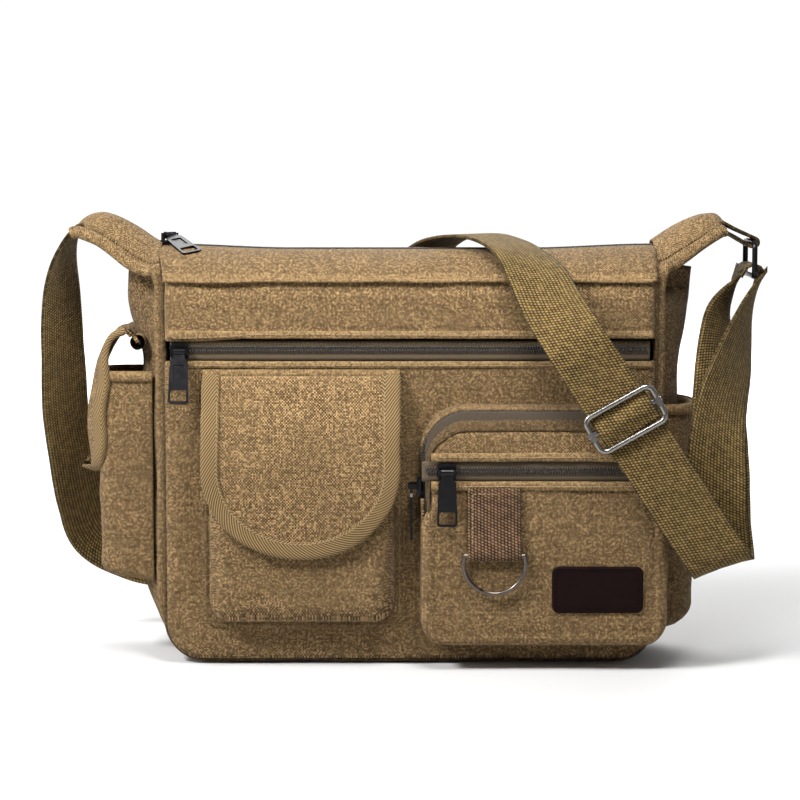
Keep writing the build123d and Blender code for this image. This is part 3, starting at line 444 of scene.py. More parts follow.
def capsules(name, places, material):
    """Many small rounded bars in one mesh.
    Each place: centre, axis, half length, radius, flatness, flat normal."""
    mesh = bpy.data.meshes.new(name)
    vertices = []
    faces = []
    sides = 6
    rings = [(-1.0, 0.35), (-0.75, 0.9), (0.75, 0.9), (1.0, 0.35)]
    for centre, axis, half, radius, flat, up in places:
        axis = axis.normalized()
        side = axis.cross(up).normalized()
        lift = side.cross(axis)
        base = len(vertices)
        for reach, swell in rings:
            for k in range(sides):
                angle = 2 * math.pi * k / sides
                out = side * math.cos(angle) + lift * (math.sin(angle) * flat)
                vertices.append(centre + axis * (half * reach) + out * (radius * swell))
        for ring in range(len(rings) - 1):
            for k in range(sides):
                n = (k + 1) % sides
                a = base + ring * sides
                faces.append((a + k, a + n, a + sides + n, a + sides + k))
        faces.append(tuple(base + k for k in reversed(range(sides))))
        faces.append(tuple(base + (len(rings) - 1) * sides + k for k in range(sides)))
    mesh.from_pydata(vertices, [], faces)
    return add_piece(name, mesh, material)


def walk(points, step):
    """Evenly spaced places and directions along a line of points."""
    places = []
    left = step / 2
    for a, b in zip(points, points[1:]):
        span = (b - a).length
        while left <= span:
            places.append((a.lerp(b, left / span), (b - a).normalized()))
            left += step
        left -= span
    return places


def stitches(name, points, up, body=BAG, thread="thread", pitch=2.9 * MM, length=2.1 * MM, radius=0.3 * MM):
    """A row of separate sunk stitches along a line of points on the cloth."""
    rows = []
    for k, (place, along) in enumerate(walk(points, pitch)):
        face = up(place) if callable(up) else up
        wander = ripple(place, 300, k * 0.13) * 0.12 * MM
        side = along.cross(face).normalized()
        rows.append((place + side * wander + face * (radius * 0.25), along, length / 2, radius, 0.75, face))
    return attach(capsules(name, rows, thread), body, "canvas")


def coil_chain(name, points, up, *nodes, width=5.0 * MM, pitch=1.65 * MM):
    """Closed coil zip: two rows of slanted coils and a cord down the middle."""
    rows = []
    for place, along in walk(points, pitch):
        face = up(place) if callable(up) else up
        side = along.cross(face).normalized()
        for hand in (-1, 1):
            lean = (side * hand + along * 0.22).normalized()
            centre = place + side * (hand * width * 0.27) + along * (hand * pitch * 0.25)
            rows.append((centre + face * (0.35 * MM), lean, width * 0.25, pitch * 0.36, 1.15, face))
    for a, b in zip(points, points[1:]):
        face = up(a) if callable(up) else up
        rows.append(((a + b) / 2 + face * (0.35 * MM), b - a, (b - a).length / 2, 0.42 * MM, 1.0, face))
    return attach(capsules(name, rows, "zip_coil"), BAG, "zip_coil", *nodes)


# ---- curves ------------------------------------------------------------------
def smooth_line(controls, per_span=8):
    """Catmull-Rom line through the control points."""
    points = [Vector(c) for c in controls]
    padded = [points[0] * 2 - points[1]] + points + [points[-1] * 2 - points[-2]]
    line = []
    for a, b, c, d in zip(padded, padded[1:], padded[2:], padded[3:]):
        for step in range(per_span):
            t = step / per_span
            line.append(
                0.5 * (
                    (2 * b) + (c - a) * t + (2 * a - 5 * b + 4 * c - d) * t * t
                    + (3 * b - a - 3 * c + d) * t**3
                )
            )
    line.append(points[-1])
    return line


def line_at(line, share):
    """Point at a share of a polyline's length."""
    spans = [(b - a).length for a, b in zip(line, line[1:])]
    target = share * sum(spans)
    for a, b, span in zip(line, line[1:], spans):
        if target <= span:
            return a.lerp(b, target / max(span, 1e-9))
        target -= span
    return line[-1].copy()


def value_at(line, key, value, other):
    """Coordinate `other` where coordinate `key` of a monotone polyline has a value."""
    for a, b in zip(line, line[1:]):
        if (a[key] - value) * (b[key] - value) <= 0 and a[key] != b[key]:
            return a[other] + (b[other] - a[other]) * (value - a[key]) / (b[key] - a[key])
    near = line[0] if abs(line[0][key] - value) < abs(line[-1][key] - value) else line[-1]
    return near[other]


def resample(points, count, closed=False):
    line = list(points) + ([points[0]] if closed else [])
    return [line_at(line, k / (count if closed else count - 1)) for k in range(count)]


def rounded_outline(x_low, x_high, z_low, z_high, r_top, r_low, y, step=2.5 * MM):
    """Closed front-view outline, anticlockwise from the left end of the top edge."""
    corners = [
        (x_high - r_top, z_high - r_top, r_top, 90),
        (x_high - r_low, z_low + r_low, r_low, 0),
        (x_low + r_low, z_low + r_low, r_low, -90),
        (x_low + r_top, z_high - r_top, r_top, 180),
    ]
    points = []
    for x, z, radius, start in corners:
        for k in range(9):
            angle = math.radians(start - 90 * k / 8)
            points.append(Vector((x + radius * math.cos(angle), y, z + radius * math.sin(angle))))
    points.reverse()
    total = sum((b - a).length for a, b in zip(points, points[1:] + points[:1]))
    return resample(points, int(total / step), closed=True)


def sweep(name, path, normals, section, material, wear, closed_section=False, wobble=None):
    """Loft of one flat section along a path. A section point is (outwards from the
    path's left side, along the normal); the path's direction completes the frame."""
    rows = []
    count = len(path)
    for k, centre in enumerate(path):
        ahead = path[min(k + 1, count - 1)]
        behind = path[max(k - 1, 0)]
        along = (ahead - behind).normalized()
        normal = normals(centre, k) if callable(normals) else normals
        side = along.cross(normal).normalized()
        up = side.cross(along).normalized()
        row = []
        for j, (a, b) in enumerate(section):
            point = centre + side * a + up * b
            if wobble is not None:
                point = point + wobble(point, side, up, k, j)
            row.append(point)
        rows.append(row)
    rows = [list(reversed(row)) for row in rows]
    return grid_piece(name, rows, material, wear=wear, thickness=0.0, closed=closed_section)


def inset_line(points, normals, distance, lift=0.0):
    """A line that runs `distance` to the inner side of a border line."""
    line = []
    for k, point in enumerate(points):
        along = (points[min(k + 1, len(points) - 1)] - points[max(k - 1, 0)]).normalized()
        normal = normals(point)
        side = along.cross(normal).normalized()
        line.append(point - side * distance + normal * lift)
    return line


def tube_section(radius, sides=10, flat=1.0):
    return [
        (radius * math.cos(2 * math.pi * k / sides), radius * flat * math.sin(2 * math.pi * k / sides))
        for k in range(sides)
    ]


def pillow(distance, roll):
    """Height share of a rounded edge: 0 at the seam, 1 from `roll` inwards."""
    if distance >= roll:
        return 1.0
    rise = 1 - max(0.0, distance) / roll
    return math.sqrt(max(0.0, 1 - rise * rise))


def inside_rounded(x, z, x_low, x_high, z_low, z_high, r_top, r_low):
    """Distance inwards from a rounded outline."""
    radius = r_top if z > (z_low + z_high) / 2 else r_low
    dx = max(x_low + radius - x, x - (x_high - radius))
    dz = max(z_low + radius - z, z - (z_high - radius))
    if dx > 0 and dz > 0:
        return radius - math.hypot(dx, dz)
    return radius - max(dx, dz)


def half_width(z, half, z_low, z_high, r_top, r_low):
    """Half width of a rounded outline at one height."""
    if z < z_low + r_low:
        rise = z_low + r_low - z
        return half - r_low + math.sqrt(max(0.0, r_low * r_low - rise * rise))
    if z > z_high - r_top:
        rise = z - (z_high - r_top)
        return half - r_top + math.sqrt(max(0.0, r_top * r_top - rise * rise))
    return half


def spread(j, count):
    """Sideways share from -1 to 1, with closer steps towards both edges."""
    return -math.cos(math.pi * j / count) * 0.5 + (2 * j / count - 1) * 0.5


def section_mm(*points):
    """A sweep's section from points given in millimetres."""
    return [(x * MM, y * MM) for x, y in points]


def pillow_panel(
    name, bounds, base_y, face_y, roll, material, columns, rows_count, wrinkle, wear, r_top, r_low,
    open_top=False,
):
    """Cloth face with a rolled rim, seen from the front: base_y at the rim, face_y inside."""
    x_low, x_high, z_low, z_high = bounds
    middle = (x_low + x_high) / 2
    half = (x_high - x_low) / 2
    rows = []
    for i in range(rows_count + 1):
        z = z_low + (z_high - z_low) * (0.5 + 0.5 * spread(i, rows_count))
        width = half_width(z, half, z_low, z_high, r_top, r_low)
        row = []
        for j in range(columns + 1):
            x = middle + width * spread(j, columns)
            limit_high = z_high + 1 if open_top else z_high
            distance = inside_rounded(
                x, z, x_low, x_high, z_low, limit_high, r_top if not open_top else 0.001, r_low
            )
            lift = pillow(distance, roll)
            y = base_y + (face_y - base_y) * lift
            row.append(Vector((x, y + wrinkle(x, z, distance) * lift, z)))
        rows.append(row)
    return grid_piece(name, rows, material, uv=lambda p, i, j: (p.x, p.z + (p.y - face_y) * 0.7), wear=wear)


def soft_wrinkle(amplitude, scale, seed, pucker=0.0):
    """Low swells plus short puckers next to seams; negative is outwards."""

    def wrinkle(x, z, distance):
        swell = ripple((x * 0.8, 0, z), scale, seed) + 0.45 * ripple((x, 0, z * 0.7), scale * 2.3, seed + 5)
        short = ripple((x, 0, z), 95, seed + 9) * math.exp(-max(0.0, distance) / (7 * MM))
        return amplitude * swell + pucker * short

    return wrinkle


# ---- body: front pocket panel, band, back, gussets, base ----------------------
PANEL_R = 24 * MM
ROLL = 6 * MM
front_rim_y = FACE_Y + 7 * MM
bag_low_z = PANEL_LOW.z

front = pillow_panel(
    "front_pocket_cloth", (-SEAM_X, SEAM_X, bag_low_z, PANEL_HIGH.z), front_rim_y, FACE_Y, ROLL, "canvas",
    130, 80, soft_wrinkle(-1.5 * MM, 16, 3.0, 1.0 * MM), edge_wear(0.012, 0.012, 0.35), 1 * MM, PANEL_R,
    open_top=True,
)
attach(front, BAG, "canvas", "front_pocket_panel", "front_panel")


def band_drop(x):
    """The band's lower edge dips a little at its left end."""
    return -2.2 * MM * smoothstep(-95 * MM, -150 * MM, x) + 0.8 * MM * ripple((x, 0, 0), 22, 4)


def band_rows():
    rows = []
    top = SEAM_Z + 2 * MM
    for i in range(25):
        share = i / 24
        row = []
        for j in range(131):
            x = -SEAM_X + 2 * SEAM_X * j / 130
            low_edge = BAND_LOW_Z + band_drop(x)
            z = low_edge + (top - low_edge) * share
            near_side = min(x + SEAM_X, SEAM_X - x)
            lift = pillow(near_side, ROLL)
            fold = 1 - pillow(z - low_edge + 0.3 * MM, 2.5 * MM)
            lean = smoothstep(SEAM_Z - 12 * MM, SEAM_Z - 4 * MM, z) * 3.6 * MM
            swell = ripple((x, 0, z), 26, 7) * 1.0 * MM + ripple((x, 0, z), 80, 17) * 0.45 * MM
            y = FACE_Y - 0.6 * MM + lean + fold * 1.6 * MM + swell * smoothstep(0, 0.3, share)
            row.append(Vector((x, front_rim_y + (y - front_rim_y) * lift, z)))
        rows.append(row)
    return rows


band = grid_piece(
    "front_band_cloth", band_rows(), "canvas", uv=lambda p, i, j: (p.x, p.z),
    wear=edge_wear(0.01, 0.10, 0.6),
)
attach(band, BAG, "canvas", "front_upper_band")


def back_rows():
    rows = []
    top = SEAM_Z + 2 * MM
    for i in range(61):
        share = i / 60
        z = bag_low_z + (top - bag_low_z) * share
        width = half_width(z, SEAM_X, bag_low_z, SEAM_Z + 1, 1 * MM, PANEL_R)
        row = []
        for j in range(101):
            x = width * (1 - 2 * j / 100)
            distance = inside_rounded(x, z, -SEAM_X, SEAM_X, bag_low_z, SEAM_Z + 1, 1 * MM, PANEL_R)
            lift = pillow(distance, ROLL)
            swell = ripple((x, 5, z), 14, 31) * 1.6 * MM + ripple((x, 5, z), 34, 33) * 0.6 * MM
            lean = smoothstep(0.85, 1, share) * 3.5 * MM
            row.append(Vector((x, (BACK_Y - 5 * MM) + (5 * MM + swell - lean) * lift, z)))
        rows.append(row)
    return rows


back = grid_piece(
    "back_cloth", back_rows(), "canvas", uv=lambda p, i, j: (-p.x, p.z), wear=edge_wear(0.02, 0.02, 0.4)
)
attach(back, BAG, "canvas", "back_panel")

GUSSET_BULGE = high("right_gusset").x - SEAM_X
GUSSET_HALF = high("back_panel").y - 5 * MM
GUSSET_LOW_Z = low("base_panel").z
BASE_R = 38 * MM
CORNER_X = {-1: SEAM_X - 22 * MM, 1: SEAM_X + GUSSET_BULGE - BASE_R}


def gusset_line(side):
    """Side wall from the middle of the base, round the lower corner and up to the ear."""
    line = [Vector((side * x * MM, 0, GUSSET_LOW_Z + z * MM)) for x, z in ((0, 0), (60, 0), (110, 0))]
    turn_r = 24 * MM
    corner = Vector((side * (SEAM_X - turn_r), 0, GUSSET_LOW_Z + turn_r))
    for k in range(7):
        angle = math.radians(-90 + 15 * k)
        line.append(corner + Vector((side * turn_r * math.cos(angle), 0, turn_r * math.sin(angle))))
    for z in (45, 60, 90, 120, 150, 180, 205, 225, 238, 250):
        line.append(Vector((side * SEAM_X, 0, z * MM)))
    return line


def dent(across, up):
    """A soft round hollow where the ear's cloth is gathered: 1 in its middle."""
    return math.exp(-((across / (11 * MM)) ** 2) - (up / (9 * MM)) ** 2)


def gusset_rows(side):
    line = resample(gusset_line(side), 120)
    rows = []
    radius = (GUSSET_HALF**2 + GUSSET_BULGE**2) / (2 * GUSSET_BULGE)
    for i, spine in enumerate(line):
        behind = line[max(0, i - 1)]
        ahead = line[min(len(line) - 1, i + 1)]
        along = (ahead - behind).normalized()
        out = Vector((along.z, 0, -along.x)) * side
        grown = smoothstep(0, 54 * MM, spine.z) if side < 0 else smoothstep(0, 30 * MM, spine.z)
        flare = smoothstep(185 * MM, 232 * MM, spine.z) * 8.0 * MM
        row = []
        for j in range(49):
            t = -1 + 2 * j / 48
            y = t * GUSSET_HALF
            bulge = (math.sqrt(radius**2 - y * y) - (radius - GUSSET_BULGE)) * grown + flare * (1 - t * t)
            pinch = dent(y + 24 * MM, spine.z - 241 * MM) * 11 * MM + dent(
                y - 24 * MM, spine.z - 241 * MM
            ) * 9 * MM
            lump = ripple((spine.x, y, spine.z), 24, 41 + side) * 2.2 * MM
            lump += ripple((spine.x, y * 0.5, spine.z), 60, 44 + side) * 0.9 * MM
            edge = (1 - abs(t) ** 6) * grown
            point = spine + Vector((0, y, 0)) + out * (bulge - pinch + lump * edge)
            point.z = max(point.z, 0.6 * MM)
            if side > 0 and point.z < BASE_R:
                limit = CORNER_X[1] + math.sqrt(BASE_R**2 - (BASE_R - point.z) ** 2)
                point.x = min(point.x, limit)
            row.append(point)
        rows.append(row if side > 0 else list(reversed(row)))
    return rows


for side, label in ((-1, "left"), (1, "right")):
    # The side walls take the darker canvas copy as painted shade.
    gusset = grid_piece(
        f"{label}_gusset_cloth", gusset_rows(side), "canvas_painted_shade", wear=edge_wear(0.03, 0, 0.35)
    )
    nodes = [f"{label}_gusset"] + (["base_panel"] if side < 0 else [])
    attach(gusset, BAG, "canvas", *nodes)

# The lining is a bag inside the bag, drawn in a little from the walls.
LINING_X = SEAM_X - 5 * MM
LINING_FRONT, LINING_BACK = low("lining").y + 5 * MM, high("lining").y - 3 * MM
LINING_MID, LINING_HALF = (LINING_FRONT + LINING_BACK) / 2, (LINING_BACK - LINING_FRONT) / 2
lining_rows = []
for i in range(41):
    z = low("lining").z + (high("lining").z - 6 * MM - low("lining").z) * i / 40
    tuck = 1 - 0.16 * (1 - smoothstep(0, 45 * MM, z))
    row = []
    for j in range(160):
        angle = 2 * math.pi * j / 160
        x = math.copysign(abs(math.cos(angle)) ** 0.12, math.cos(angle)) * LINING_X * tuck
        y = math.copysign(abs(math.sin(angle)) ** 0.35, math.sin(angle)) * LINING_HALF + LINING_MID
        row.append(Vector((x, y, z)))
    lining_rows.append(row)
lining = grid_piece("lining_bag_cloth", lining_rows, "lining_cloth", closed=True, thickness=0.5 * MM)
attach(lining, BAG, "lining_cloth", "lining")

# Piping along both seams.
PIPE_R = 1.5 * MM


def seam_path(y):
    top = SEAM_Z + 3 * MM
    points = [Vector((-SEAM_X, y, top)), Vector((-SEAM_X, y, bag_low_z + PANEL_R))]
    for k in range(1, 9):
        angle = math.radians(180 + 90 * k / 8)
        x = -SEAM_X + PANEL_R + PANEL_R * math.cos(angle)
        points.append(Vector((x, y, bag_low_z + PANEL_R + PANEL_R * math.sin(angle))))
    mirrored = [Vector((-p.x, p.y, p.z)) for p in reversed(points)]
    return resample(points + mirrored, 330)


def seam_wander(point, side, up, k, j):
    return (side * ripple(point, 30, 3) + up * ripple(point, 30, 8)) * 0.8 * MM


for label, y in (("front", front_rim_y - 0.5 * MM), ("back", BACK_Y - 4.5 * MM)):
    pipe = sweep(
        f"{label}_piping_cloth", seam_path(y), Vector((0, -1, 0)), tube_section(PIPE_R, 9), "piping",
        closed_section=True, wobble=seam_wander, wear=0.0,
    )
    attach(pipe, BAG, "piping", f"{label}_piping")


# ---- top: strips, zip ---------------------------------------------------------
def strip_rows(side):
    """Top strip from the seam with a panel up to its folded edge beside the zip."""
    start = (FACE_Y + 1.2 * MM, SEAM_Z - 0.4 * MM)
    if side > 0:
        start = (BACK_Y - 3.5 * MM, SEAM_Z + 1 * MM)
    end = (side * 6 * MM, CREST_Z)
    rows = []
    for i in range(17):
        share = i / 16
        y = start[0] + (end[0] - start[0]) * share
        z = start[1] + (end[1] - start[1]) * math.sin(share * math.pi / 2) ** 0.8
        if i == 16:
            z -= 1.6 * MM
            y -= side * 0.6 * MM
        row = []
        for j in range(121):
            x = (SEAM_X + 3 * MM * share) * (2 * j / 120 - 1) - 5 * MM * share * max(0.0, 1 - j / 12)
            sag = smoothstep(0, 0.5, 1 - abs(x) / SEAM_X) * 2.5 * MM * share
            swell = ripple((x, y, z), 28, 51 + side) * 1.3 * MM * math.sin(share * math.pi)
            row.append(Vector((x, y, z - sag + swell)))
        rows.append(row)
    return rows if side < 0 else list(reversed(rows))


for side, label in ((-1, "front"), (1, "back")):
    ridge_y, ridge_z = FACE_Y + 0.8 * MM, SEAM_Z - 0.4 * MM
    if side > 0:
        ridge_y, ridge_z = BACK_Y - 3.2 * MM, SEAM_Z + 1.2 * MM
    seam_line = [Vector((x * MM, ridge_y, ridge_z)) for x in range(-152, 153, 4)]
    ridge = sweep(
        f"top_seam_{label}_cloth", seam_line, Vector((0, side, 0.25)).normalized(),
        tube_section(1.3 * MM, 10, 0.8), "canvas", closed_section=True,
        wobble=lambda p, a, b, k, j: (a * ripple(p, 32, 55) * 0.9 + b * ripple(p, 60, 57) * 0.4) * MM,
        wear=0.6,
    )
    attach(ridge, BAG, "canvas")
    strip = grid_piece(
        f"top_strip_{label}_cloth", strip_rows(side), "canvas", uv=lambda p, i, j: (p.x, p.y),
        wear=edge_wear(0, 0.12, 0.55),
    )
    attach(strip, BAG, "canvas", f"top_strip_{label}")

top_zip_high = high("top_zip_chain")
top_zip_low = low("top_zip_chain")
TAPE_TOP = top_zip_high.z - 1.2 * MM


def flat_tape(name, corner_a, corner_b, axis_u, axis_v, node):
    """A zip tape's flat cloth between two corners of its rectangle."""
    span = corner_b - corner_a
    u = axis_u * span.dot(axis_u)
    v = axis_v * span.dot(axis_v)
    rows = [[corner_a + u * (j / 120) + v * (i / 6) for j in range(121)] for i in range(7)]
    tape = grid_piece(
        name, rows, "zip_tape", uv=lambda p, i, j: (p.dot(axis_u), p.dot(axis_v)), thickness=0.9 * MM
    )
    return attach(tape, BAG, "zip_coil", node)


X_AXIS = Vector((1, 0, 0))
Y_AXIS = Vector((0, 1, 0))
Z_AXIS = Vector((0, 0, 1))
FRONTWARD = -Y_AXIS


def zip_sag(x):
    return smoothstep(0, 0.5, 1 - abs(x) / SEAM_X) * 2.5 * MM


top_tape = flat_tape(
    "top_zip_tape", Vector((top_zip_low.x, top_zip_low.y, TAPE_TOP)),
    Vector((top_zip_high.x, top_zip_high.y, TAPE_TOP)), X_AXIS, Y_AXIS, "top_zip_chain",
)
for vertex in top_tape.data.vertices:
    vertex.co.z -= zip_sag(vertex.co.x)
top_line = [Vector((x * MM, 0, TAPE_TOP - zip_sag(x * MM))) for x in range(-162, 161, 4)]
coil_chain("top_zip_coil", top_line, Z_AXIS)

front_zip_low = low("front_zip_chain")
front_zip_high = high("front_zip_chain")
TAPE_Y = front_zip_low.y + 1.2 * MM
flat_tape(
    "front_zip_tape", Vector((front_zip_low.x, TAPE_Y, front_zip_low.z)),
    Vector((front_zip_high.x, TAPE_Y, front_zip_high.z)), X_AXIS, Z_AXIS, "front_zip_chain",
)
front_line = [Vector((x * MM, TAPE_Y, FRONT_ZIP_Z)) for x in range(-151, 152, 4)]
coil_chain("front_zip_coil", front_line, FRONTWARD)

cargo_zip_low = low("cargo_zip_chain")
cargo_zip_high = high("cargo_zip_chain")
CARGO_TAPE_Y = cargo_zip_low.y + 1.2 * MM
CARGO_ZIP_Z = (cargo_zip_low.z + cargo_zip_high.z) / 2
flat_tape(
    "cargo_zip_tape", Vector((cargo_zip_low.x, CARGO_TAPE_Y, cargo_zip_low.z)),
    Vector((cargo_zip_high.x, CARGO_TAPE_Y, cargo_zip_high.z)), X_AXIS, Z_AXIS, "cargo_zip_chain",
)
cargo_line = [Vector((x * MM, CARGO_TAPE_Y, CARGO_ZIP_Z)) for x in range(10, 159, 4)]
coil_chain("cargo_zip_coil", cargo_line, FRONTWARD)


# ---- ears ---------------------------------------------------------------------
# Each ear is a saddle of cloth. Per station: ridge x and z, half width, and how far
# its front and back edges hang below the ridge, in millimetres.
EARS = {
    "left": [
        (-159, 265.6, 43, 14), (-166, 269.5, 42, 20.5), (-176, 276.5, 37, 24), (-187, 282.5, 32, 22),
        (-197, 284.8, 28, 17.5), (-206, 283.2, 24.5, 12), (-212, 279.6, 22, 6.5), (-216, 274.5, 20.5, 2.5),
    ],
    "right": [
        (156, 267, 42, 17), (165, 273.5, 39, 21), (174, 279.5, 35, 22), (183, 283.5, 31, 20),
        (191, 284.8, 27.5, 16), (197.5, 284.2, 24, 11.5), (200.5, 280.5, 22, 7),
    ],
}
ear_edges = {}
for side, label in ((-1, "left"), (1, "right")):
    ridge = smooth_line([(x * MM, 0, z * MM) for x, z, _, _ in EARS[label]], 8)
    shape = smooth_line([(half * MM, hang * MM, 0) for _, _, half, hang in EARS[label]], 8)
    for layer, (lift, shrink) in {"outer": (0, 1), "inner": (-7.5, 0.88)}.items():
        rows = []
        for k, centre in enumerate(ridge):
            share = k / (len(ridge) - 1)
            half, hang = shape[k].x * shrink, shape[k].y
            row = []
            for j in range(45):
                t = -1 + 2 * j / 44
                fold = ripple((centre.x, t * half, 0), 42, 61 + side) * 1.9 * MM
                fold += ripple((centre.x * 0.4, t * half, 0), 110, 64) * 0.8 * MM
                drop = hang * abs(t) ** 1.7 * (1 if layer == "outer" else 0.8)
                tuck = 3.0 * MM * abs(t) ** 4 * (1 - share) * -side
                z = centre.z - drop + fold * (1 - t**8) * (1 - 0.6 * share)
                z += lift * MM * (1 - t**6) * (1 - 0.8 * share)
                row.append(Vector((centre.x + tuck * 0.5, t * half * (1 - 0.06 * abs(t)), z)))
            rows.append(row)
        if (side > 0) == (layer == "outer"):
            rows = [list(reversed(row)) for row in rows]
        if side < 0:
            rows = [list(reversed(row)) for row in rows]
            rows.reverse()
        # The inner layer is the ear's underside and takes the darker canvas copy as painted shade.
        wing = grid_piece(
            f"{label}_ear_{layer}", rows, "canvas" if layer == "outer" else "canvas_painted_shade", wear=0.12
        )
        attach(wing, BAG, "canvas", f"{label}_ear")
        if layer == "outer":
            for end, name in ((-1, "front"), (1, "back")):
                edge_line = [
                    Vector((c.x, end * shape[k].x * 0.94, c.z - shape[k].y)) for k, c in enumerate(ridge)
                ]
                ear_edges[label, name] = edge_line

# A rolled edge runs from each ear's tip along its rim and down the gusset's seam.
for (label, name), edge_line in ear_edges.items():
    side = -1 if label == "left" else 1
    end = -1 if name == "front" else 1
    seam_y = end * (GUSSET_HALF - 1.5 * MM)
    down = [Vector((side * (SEAM_X + 2.4 * MM), seam_y, z * MM)) for z in range(238, 40, -14)]
    start = [q for q in edge_line if abs(q.x) > SEAM_X + 9 * MM]
    path = list(reversed(start)) + [Vector((side * (SEAM_X + 5.2 * MM), end * 42 * MM, 249.5 * MM))] + down
    path += [
        Vector((side * (SEAM_X + 1.5 * MM), seam_y, 30 * MM)),
        Vector((side * (SEAM_X - 5 * MM), seam_y, 16 * MM)),
    ]
    path = resample(smooth_line(path, 6), 150)
    roll = sweep(
        f"{label}_{name}_rolled_edge", path, Vector((-side * 0.25, end, 0.3)).normalized(),
        tube_section(3.9 * MM, 14, 0.8), "canvas", closed_section=True, wear=0.18,
        wobble=lambda p, a, b, k, j: (a * ripple(p, 40, 67) + b * ripple(p, 40, 69)) * 1.2 * MM,
    )
    attach(roll, BAG, "canvas")


# ---- flap pocket and its flap ---------------------------------------------------
pocket_low, pocket_high = low("flap_pocket"), high("flap_pocket")
POCKET_FACE_Y = pocket_low.y
pocket_cloth = pillow_panel(
    "flap_pocket_cloth", (pocket_low.x, pocket_high.x, pocket_low.z, pocket_high.z), FACE_Y + 0.5 * MM,
    POCKET_FACE_Y, 13 * MM, "canvas", 70, 60, soft_wrinkle(-1.4 * MM, 30, 71, 1.6 * MM),
    edge_wear(0.05, 0.05, 0.3), 6 * MM, 14 * MM,
)
attach(pocket_cloth, BAG, "canvas", "flap_pocket")

pocket_border = rounded_outline(
    pocket_low.x - 4.2 * MM, pocket_high.x + 4.2 * MM, pocket_low.z - 4.2 * MM, pocket_high.z + 10 * MM,
    3 * MM, 12 * MM, 0,
)
pocket_border = [Vector((p.x, FACE_Y, p.z)) for p in pocket_border if p.z < pocket_high.z - 2 * MM]
# The flange round the pocket takes the darker canvas copy as painted shade in the crease beside the pocket.
flange = sweep(
    "flap_pocket_flange", pocket_border, FRONTWARD,
    section_mm((0.4, 0), (0.2, 1.4), (-1.6, 2.0), (-4.0, 1.8), (-7.5, 1.6)), "canvas_painted_shade",
    wobble=lambda p, a, b, k, j: b * ripple(p, 70, 77) * 0.7 * MM + a * ripple(p, 40, 78) * 0.9 * MM,
    wear=0.12,
)
attach(flange, BAG, "canvas")
stitches(
    "flap_pocket_stitches", inset_line(pocket_border, lambda p: FRONTWARD, 2.0 * MM, 2.0 * MM), FRONTWARD,
    BAG, "thread_dark", 2.8 * MM, 1.9 * MM, 0.26 * MM,
)

flap_low, flap_high = low("flap"), high("flap")
FLAP_MID = (flap_low.x + flap_high.x) / 2
FLAP_HALF = (flap_high.x - flap_low.x) / 2
FLAP_ROUND_Z = flap_low.z + 55 * MM
FLAP_DEPTH = flap_high.y - flap_low.y
# Side view of the flap: how far it stands out, as a share, against its height.
FLAP_SIDE = smooth_line(
    [
        (0, flap_high.y + 1 * MM - FLAP_DEPTH * out, flap_high.z - drop * MM)
        for out, drop in ((0.07, 0), (0.20, 3.5), (0.47, 17), (0.80, 36), (0.97, 60), (1.0, 90), (0.985, 118))
    ],
    10,
)


def flap_surface(x, z):
    """Outer face of the flap with its soft folds."""
    y = value_at(FLAP_SIDE, 2, z, 1)
    low_share = smoothstep(flap_high.z - 10 * MM, flap_low.z, z)
    fold = ripple((x, 0, z), 22, 81) * 1.5 * MM + ripple((x * 1.2, 0, z * 0.7), 48, 83) * 0.7 * MM
    sides = (abs(x - FLAP_MID) / FLAP_HALF) ** 2
    return Vector((x, y + fold * low_share + sides * low_share * 2.0 * MM, z))


def flap_normal(point):
    step = 1.5 * MM
    a = flap_surface(point.x + step, point.z) - flap_surface(point.x - step, point.z)
    b = flap_surface(point.x, point.z + step) - flap_surface(point.x, point.z - step)
    normal = a.cross(b).normalized()
    return normal if normal.y < 0 else -normal


def flap_edge_z(x):
    share = min(1.0, abs(x - FLAP_MID) / FLAP_HALF)
    return FLAP_ROUND_Z - (FLAP_ROUND_Z - flap_low.z) * math.sqrt(max(0.0, 1 - share * share))


flap_rows = []
for i in range(61):
    row = []
    for j in range(73):
        x = FLAP_MID - FLAP_HALF * 0.985 * math.cos(math.pi * j / 72)
        bottom = flap_edge_z(x) + 1 * MM
        z = bottom + (flap_high.z - bottom) * i / 60
        row.append(flap_surface(x, z))
    flap_rows.append(row)
# The flap takes the lighter canvas copy as painted light on its upward-leaning face.
flap_cloth = grid_piece(
    "flap_cloth", flap_rows, "canvas_painted_light", uv=lambda p, i, j: (p.x, p.z + (flap_high.z - p.z) * 0.12),
    wear=edge_wear(0.04, 0.03, 0.4),
)
attach(flap_cloth, "pocket_flap", "canvas", "flap")

flap_border = [
    Vector((FLAP_MID - FLAP_HALF, 0, flap_high.z - k * (flap_high.z - FLAP_ROUND_Z) / 12))
    for k in range(12)
]
for k in range(37):
    angle = math.radians(180 + 180 * k / 36)
    flap_border.append(
        Vector((
            FLAP_MID + FLAP_HALF * math.cos(angle), 0,
            FLAP_ROUND_Z + (FLAP_ROUND_Z - flap_low.z) * math.sin(angle),
        ))
    )
flap_border += [
    Vector((FLAP_MID + FLAP_HALF, 0, FLAP_ROUND_Z + k * (flap_high.z - FLAP_ROUND_Z) / 12))
    for k in range(1, 13)
]
flap_border = [flap_surface(p.x, p.z) for p in resample(flap_border, 210)]
BINDING_SECTION = section_mm(
    (-10.8, 0.15), (-10.9, 0.9), (-10.2, 1.25), (-7.5, 1.35), (-4.5, 1.45), (-1.8, 1.5), (-0.3, 1.2),
    (0.5, 0.3), (0.5, -1.0), (-0.2, -2.0), (-2.0, -2.5), (-6, -2.6), (-10.5, -2.5),
)


def binding_wobble(point, side, up, k, j):
    if j > 9:
        return Vector()
    return up * (ripple(point, 180, 91) * 0.35 * MM) + side * (ripple(point, 60, 92) * 0.5 * MM)


